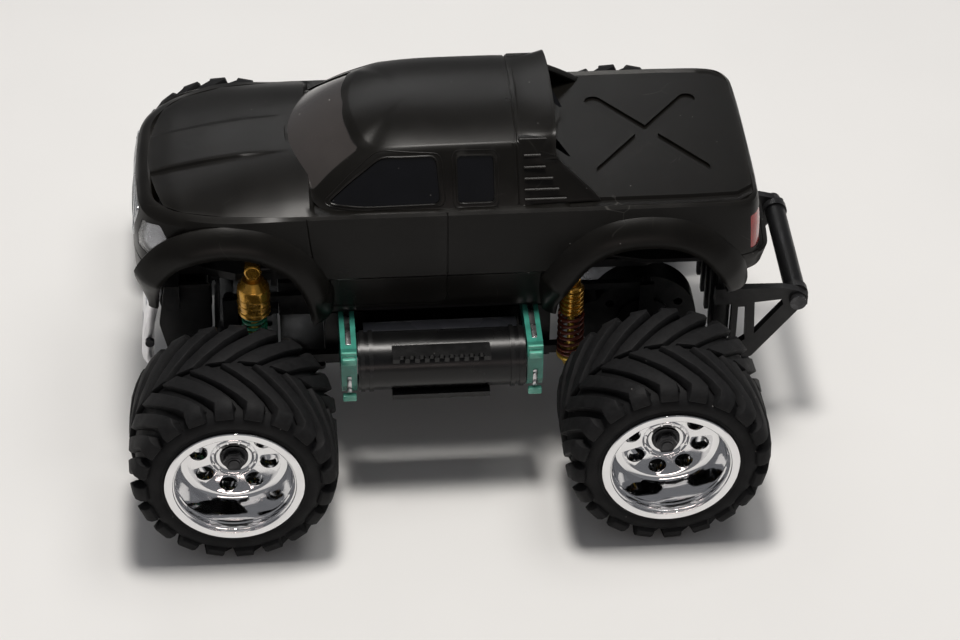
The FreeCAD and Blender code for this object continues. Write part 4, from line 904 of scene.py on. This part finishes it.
def rim_part():
    """The deep dish, its flanges and the drilled centre disc."""
    profile = [(19.2, 18.35), (19.15, 18.8), (18.9, 18.98), (17.3, 18.98), (16.95, 18.8), (16.85, 18.3), (16.5, 18.1),
               (16.3, 17.7), (16.25, 16.2), (15.95, 15.9), (15.9, 15.1), (15.65, 12.0), (15.4, 8.8), (15.0, 7.5),
               (14.2, 6.95), (13.2, 6.75), (6.6, 6.75), (6.2, 7.05), (5.6, 7.15), (5.2, 6.9), (4.9, 6.6), (4.2, 6.5),
               (2.2, 6.5), (2.2, 3.2), (13.6, 3.4), (14.6, 1.5), (14.9, -5), (15.6, -14), (16.6, -18.2),
               (16.9, -18.98), (18.9, -18.98), (19.2, -18.6), (19.2, -17.6), (18.2, -17.0), (17.7, -14), (17.7, 14),
               (18.2, 17.3), (19.2, 17.9)]
    return lathe(profile, 96)


def around_hub(profile, segments, count, shift, radius):
    """Copies of a small turned form, evenly round the hub."""
    angles = [2 * pi * (k + shift) / count for k in range(count)]
    return [lathe(profile, segments, (radius * cos(a), 0, radius * sin(a))) for a in angles]


def hub_nut():
    corner = 3.0
    corners = [(corner * cos(pi * k / 3), corner * sin(pi * k / 3)) for k in range(6)]
    washer = [(1.6, 6.75), (3.9, 6.75), (3.9, 7.05), (3.6, 7.25), (1.6, 7.25)]
    collar = [(1.5, 9.1), (2.2, 9.1), (2.1, 9.6), (1.5, 9.6)]
    return gathered([slab(corners, "XZ", 7.2, 9.3), lathe(washer, 40), lathe(collar, 32)])


def place_wheel(part, side, x):
    if side < 0:
        part = mirrored(part)
    return moved(part, (x, side * WHEEL_Y, WHEEL_Z))


def wheels():
    carcass_part, lug_part = carcass(), tread()
    studs = gathered(around_hub([(0, 6.8), (0.5, 6.8), (0.5, 7.35), (0.32, 7.6), (0, 7.65)], 12, 12, 0.5, 5.95))
    rim_obj = raw("rim_master", rim_part())
    carve(rim_obj, around_hub([(0, 0), (2.55, 0), (2.55, 12), (0, 12)], 32, 8, 0.25, 9.9))
    soften(rim_obj, 0.14, 40)
    settle(rim_obj)
    rim_shape = ([in_mm(v.co) for v in rim_obj.data.vertices], [tuple(p.vertices) for p in rim_obj.data.polygons])
    bpy.data.objects.remove(rim_obj)
    for end, x in (("front", AXLE_X), ("rear", -AXLE_X)):
        for side, word in ((1, "left"), (-1, "right")):
            body = f"front_{word}_wheel" if end == "front" else "rear_wheels"
            nut_body = f"{word}_knuckle" if end == "front" else "rear_wheels"
            tag = f"{end}_{word}"
            piece(f"tyre_{tag}_carcass", place_wheel(carcass_part, side, x), body, RUBBER, "tyre",
                  (f"tyre_{tag}",), angle=40)
            piece(f"tyre_{tag}_lugs", place_wheel(lug_part, side, x), body, RUBBER, "tyre", edge=0.22, angle=38)
            piece(f"rim_{tag}_dish", place_wheel(rim_shape, side, x), body, CHROME, "chrome_plastic",
                  (f"rim_{tag}",), angle=30)
            piece(f"rim_{tag}_studs", place_wheel(studs, side, x), body, CHROME, "chrome_plastic")
            piece(f"nut_{tag}", place_wheel(hub_nut(), side, x), nut_body, DARK_STEEL, "black_steel",
                  (f"wheel_nut_{tag}",), edge=0.15)


wheels()


# ---- shock absorbers and springs

def coil(centre, radius, wire, low, high, turns):
    """A round-wire spring with closed end turns."""
    steps = int(turns * 28)
    line = []
    for k in range(steps + 1):
        t = k / steps
        angle = 2 * pi * turns * t
        if t < 0.12:
            rise = t * 0.45
        elif t > 0.88:
            rise = 1 - (1 - t) * 0.45
        else:
            rise = 0.054 + (t - 0.12) / 0.76 * 0.892
        z = low + wire + (high - low - 2 * wire) * rise
        line.append((centre[0] + radius * cos(angle), centre[1] + radius * sin(angle), z))
    return tube(line, wire, 10)


def spring_reach(node, radius):
    """Height span of a spring, and how far out to the side it stands."""
    low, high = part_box(node)
    return low.z / MM, high.z / MM, high.y / MM - radius


ROD, ROD_BORE = 1.0, 1.3


def shocks(end, across, barrel, eye, eye_z, shafts, coil_shape, enamel, slot, edge):
    """Barrels on the chassis, shafts on the axle and coils round them, at one end of the truck."""
    node = f"{end}_springs"
    x, (low, high, y) = in_mm(middle(node)).x, spring_reach(node, across)

    def upright(profiles):
        return [lathe(profile, segments, (x, y, 0), "Z") for profile, segments in profiles]

    barrels = both(gathered(upright(barrel) + [lathe(eye, 32, (x, y, eye_z))]))
    piece(f"{end}_shock_barrels", barrels, "chassis", GOLD, "gold", (f"{end}_shock_bodies",), edge=edge)
    piece(f"{end}_shock_shafts", both(gathered(upright(shafts))), f"{end}_rods", GOLD_TIP, "gold",
          (f"{end}_shock_rods",), edge=0.1)
    radius, wire, turns = coil_shape
    spring = piece(f"{end}_coils", both(coil((x, y), radius, wire, low, high, turns)), f"{end}_rods", enamel, slot,
                   (node,), angle=60)
    free_ends(spring)


def free_ends(spring):
    """Frees the spring from every body: it is unparented, keeps its place and has its transform baked into the mesh."""
    world = spring.matrix_world.copy()
    spring.parent = None
    spring.matrix_world = world
    del spring["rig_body"]
    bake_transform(spring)


THREADS = [[(4.5, z), (4.72, z + 0.25), (4.72, z + 0.55), (4.5, z + 0.8)] for z in (50.2, 52.2)]
FINS = [point for z in (45.1, 46.85, 48.6, 50.35, 52.1)
        for point in ((2.9, z), (3.45, z + 0.15), (3.45, z + 0.85), (2.9, z + 1.0))]
shocks("front", 3.65,
       [([(0, 55), (ROD_BORE, 55), (ROD_BORE, 46.5), (4.2, 46.5), (4.6, 46.9), (4.6, 48.0), (4.35, 48.2),
          (4.35, 49.2), (4.6, 49.4), (4.6, 55.6), (4.3, 56.4), (3.4, 57.6), (3.0, 58.6), (0, 58.6)], 48),
        ([(0, 58.4), (2.1, 58.4), (2.1, 61.8), (1.6, 62.4), (0, 62.4)], 32), *((ring, 48) for ring in THREADS)],
       [(0, -2.2), (1.9, -2.2), (2.4, -1.8), (2.4, 1.8), (1.9, 2.2), (0, 2.2)], 62,
       [([(0, 37.4), (3.6, 37.4), (3.9, 37.7), (3.9, 38.2), (3.6, 38.5), (ROD, 38.5), (ROD, 46.4), (0, 46.4)], 40),
        ([(0, 35.4), (1.5, 35.4), (1.9, 35.9), (1.9, 37.0), (2.4, 37.5), (0, 37.5)], 32)],
       (3.2, 0.45, 4.5), GREEN_SPRING, "green_spring", 0.12)
shocks("rear", 3.9,
       [([(0, 52.5), (ROD_BORE, 52.5), (ROD_BORE, 44.5), (2.9, 44.5), *FINS, (2.9, 54), (2.3, 54.6), (0, 54.6)], 44),
        ([(0, 54.4), (1.8, 54.4), (1.8, 56.8), (1.4, 57.4), (0, 57.4)], 32)],
       [(0, -1.9), (1.7, -1.9), (2.1, -1.5), (2.1, 1.5), (1.7, 1.9), (0, 1.9)], 57,
       [([(0, 24.1), (0.9, 24.1), (1.5, 24.6), (2.9, 28.2), (3.9, 28.7), (3.9, 29.6), (3.6, 30.0), (ROD, 30.0),
          (ROD, 44.4), (0, 44.4)], 40)],
       (3.4, 0.5, 7), RED_SPRING, "red_spring", 0.1)


# ---- front guard

def front_guard():
    """A plated bumper plate between two flat curved bars."""
    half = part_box("front_guard")[1].y / MM
    outer = [(79.0, 51.9), (81.0, 51.9), (82.9, 44), (84.8, 36), (85.6, 30), (85.4, 26.6), (83.6, 23.6), (80.6, 22.0),
             (72.2, 21.5)]
    inner = [(72.2, 23.2), (80.0, 23.8), (82.2, 25.4), (83.3, 27.8), (83.2, 30.4), (82.2, 36), (80.4, 44), (79.0, 50)]
    bars = both(slab(flat_curve(outer, 5) + flat_curve(inner, 5), "XZ", half - 2.4, half))
    front = flat_curve(outer[1:7])
    behind = [(x - 1.2, z) for x, z in reversed(front)]
    plate = raw("guard_plate", slab(front + behind, "XZ", -half + 1, half - 1))
    windows = [slab(rectangle(*reach, 2.0), "YZ", 70, 95)
               for reach in ((-12, 12, 39, 47.5), (-14, -2, 28.5, 35), (2, 14, 28.5, 35))]
    carve(plate, windows)
    soften(plate, 0.2)
    settle(plate)
    finish_piece(plate, "chassis", GUARD, "chrome_plastic")
    piece("guard_bars", bars, "chassis", GUARD, "chrome_plastic", ("front_guard",), edge=0.2)


front_guard()


# ---- frame parts seen through the arches

def front_frame():
    """A ribbed bulkhead behind the guard, a nose plate on the tub and a skid plate under the axle."""
    core = rounded([(66, 48.5), (77.5, 48.5), (79.5, 36), (77, 24.5), (67.5, 23.5), (66, 27)], 1.2)
    rib = rounded([(65.4, 50), (78.2, 50), (80.4, 36), (77.7, 23.2), (66.8, 22.2), (65.4, 26)], 1.2)
    parts = [slab(core, "XZ", -15, 15),
             slab(rectangle(33, 45.8, -19.5, 19.5, 1.5), "XY", 19.4, 20.7)]
    parts += [slab(rib, "XZ", y - 0.7, y + 0.7) for y in (-15.4, -5.2, 5.2, 15.4)]
    parts += [tube([(66, y, 47), (58, y * 1.25, 51.5), (44, y * 1.1, 52), (34, y * 0.8, 50.8)], 0.75, 8)
              for y in (-9, -5, 7)]
    piece("front_bulkhead", gathered(parts), "chassis", BLACK, "black_plastic", edge=0.25)
    plate = rounded([(46.5, -12), (50, -20), (65, -20), (65, 20), (50, 20), (46.5, 12)], 1.5)
    parts = [slab(plate, "XY", 20.4, 21.8)]
    parts += [slab(rectangle(58, 62, y - 1.4, y + 1.4, 0.5), "XY", 21.6, 26.4) for y in (-14, 0, 14)]
    parts += [slab([(48, y - 0.5), (58.2, y - 0.5), (58.2, y + 0.5), (48, y + 0.5)], "XY", 21.6, 22.6)
              for y in (-9, -4.5, 0, 4.5, 9)]
    piece("axle_skid_plate", gathered(parts), "front_axle", BLACK, "black_plastic", edge=0.2)


def rear_frame():
    """A cross member between the rear guard's plates, carried by a ribbed top plate."""
    wall = rounded([(-79.4, 55.8), (-83.6, 55.8), (-84, 46), (-84, 25), (-80.6, 25), (-79.4, 31)], 0.8)
    top = rounded([(-83.6, -17), (-60, -17), (-41, -12), (-41, 12), (-60, 17), (-83.6, 17)], 1.5)
    parts = [slab(wall, "XZ", -20.4, 20.4), slab(top, "XY", 52.2, 53.6)]
    parts += [slab(rectangle(-81, -44, y - 0.6, y + 0.6, 0.3), "XY", 50.9, 52.4) for y in (-11, 0, 11)]
    parts += [slab(rectangle(-78.6, -79.8, y - 1.1, y + 1.1, 0.3), "XY", 28, 55) for y in (-16, -8, 0, 8, 16)]
    piece("rear_cross_member", gathered(parts), "chassis", BLACK, "black_plastic", edge=0.2)


BOARD_REACHES = (25, 29.4), (-27, -22.6)


def board_fittings():
    """Bright contact strips, solder tabs and lips on the four terminal boards; the lips' paler green is a painted
    highlight along the boards' translucent edges.
    """
    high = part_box("terminal_boards")[1]
    outer, top = high.y / MM, high.z / MM
    strips, lips = [], []
    for near, far in BOARD_REACHES:
        middle_x = (near + far) / 2
        strips.append(slab(rectangle(middle_x - 0.6, middle_x + 0.6, 35.6, 41.5, 0.4), "XZ", outer - 0.1, outer + 0.3))
        strips.append(slab(rectangle(middle_x - 0.8, middle_x + 0.8, 28, 45, 0.4), "XY", top - 0.1, top + 0.3))
        for z in (37, 40):
            strips.append(lathe([(0, 0), (0.75, 0.05), (0.6, 0.4), (0, 0.55)], 20, (middle_x, outer + 0.3, z)))
        for z in (34.2, 47.2):
            lips.append(slab(rectangle(near + 0.3, far - 0.3, z - 1, z + 1, 0.4), "XZ", outer - 0.4, outer + 1.1))
        lips.append(slab([(near + 0.1, outer - 0.7), (far - 0.1, outer - 0.7), (far - 0.1, outer + 0.1),
                          (near + 0.1, outer + 0.1)], "XY", top - 0.6, top + 0.45))
    piece("contact_strips", both(gathered(strips)), "chassis", STEEL, "bare_steel", edge=0.08)
    # The lips' paler green is a painted highlight along the board edges.
    piece("board_lips_painted_highlight", both(gathered(lips)), "chassis", BOARD_EDGE_HIGHLIGHT, "green_board", edge=0.15)


front_frame()
rear_frame()
board_fittings()


# ---- carried-over CAD nodes

def carried_over():
    """Every CAD node that still shows gets its finish, smooth shading and soft edges."""
    record_slots = {entry["node"]: entry["material_slot"] for entry in frame["record"]["subparts"]}
    special = {"battery_cover_left": TANK, "battery_cover_right": TANK, "steering_servo": BLACK, "spur_gear": BLACK}
    for name in ("knuckle_left", "knuckle_right", "rear_axle_shaft", "drive_motor", "tie_rod"):
        special[name] = DARK_STEEL
    for name, obj in frame["nodes"].items():
        if obj.hide_render:
            continue
        finish = special.get(name, BY_SLOT[record_slots[name]])
        obj.data.materials.clear()
        obj.data.materials.append(finish)
        for polygon in obj.data.polygons:
            polygon.material_index = 0
        shade(obj, 30)
        soften(obj, 0.14)


carried_over()


# ---- floor, light and camera

FLOOR_SIZE, FLOOR_STEPS, FLOOR_Z = 3.0, 40, -0.0002


def stage():
    """A pale floor and soft studio light from above and behind."""
    ticks = [FLOOR_SIZE * (k / FLOOR_STEPS - 0.5) * 2 for k in range(FLOOR_STEPS + 1)]
    points, faces = grid([[(x, y, FLOOR_Z) for y in ticks] for x in ticks])
    mesh = bpy.data.meshes.new("floor")
    mesh.from_pydata(points, [], faces)
    floor = bpy.data.objects.new("floor", mesh)
    scene.collection.objects.link(floor)
    mesh.materials.append(surface("pale_floor", (0.80, 0.795, 0.785), 0.5, vary=0.012, grain=14, rough_vary=0.05,
                                  bump=0.02, bump_grain=900, specular=0.3))

    world = bpy.data.worlds.new("studio")
    scene.world = world
    world.use_nodes = True
    background = world.node_tree.nodes["Background"]
    background.inputs["Color"].default_value = (0.95, 0.96, 1.0, 1)
    background.inputs["Strength"].default_value = 0.19

    def softbox(name, place, aim, size_x, size_y, power, tint=(1, 1, 1)):
        light = bpy.data.lights.new(name, "AREA")
        light.shape = "RECTANGLE"
        light.size, light.size_y = size_x, size_y
        light.energy = power
        light.color = tint
        obj = bpy.data.objects.new(name, light)
        scene.collection.objects.link(obj)
        obj.location = place
        obj.rotation_euler = (Vector(aim) - Vector(place)).to_track_quat("-Z", "Y").to_euler()

    softbox("key", (0.03, 0.02, 0.92), (0, 0, 0.05), 0.18, 0.18, 6.0, (1.0, 0.965, 0.92))
    softbox("overhead", (-0.30, -0.05, 0.90), (0, 0, 0.05), 0.40, 0.30, 1.5, (1.0, 0.98, 0.95))
    softbox("back_strip", (0.10, -0.80, 0.62), (0, 0, 0.06), 0.55, 0.10, 0.8)
    softbox("window", (0.02, 1.05, 0.27), (0, 0, 0.07), 0.55, 0.05, 0.55, (1.0, 0.84, 0.78))


def camera():
    """The photograph's viewpoint: a long lens, high on the truck's left."""
    yaw, pitch, roll = radians(-5.06), radians(39.29), radians(-0.96)
    forward = Vector((sin(yaw) * cos(pitch), -cos(yaw) * cos(pitch), -sin(pitch)))
    right = forward.cross(Vector((0, 0, 1))).normalized()
    down = forward.cross(right)
    across = right * cos(roll) + down * sin(roll)
    lower = down * cos(roll) - right * sin(roll)
    data = bpy.data.cameras.new("photo_camera")
    data.lens = 112.5
    data.sensor_width = 36
    data.clip_start, data.clip_end = 0.01, 20
    obj = bpy.data.objects.new("photo_camera", data)
    scene.collection.objects.link(obj)
    turn = Matrix((across, -lower, -forward)).transposed().to_4x4()
    obj.matrix_world = Matrix.Translation((CENTRE_X + 0.04736, 0.68599, 0.58320)) @ turn
    scene.camera = obj


stage()
camera()
scene.view_settings.view_transform = "Standard"
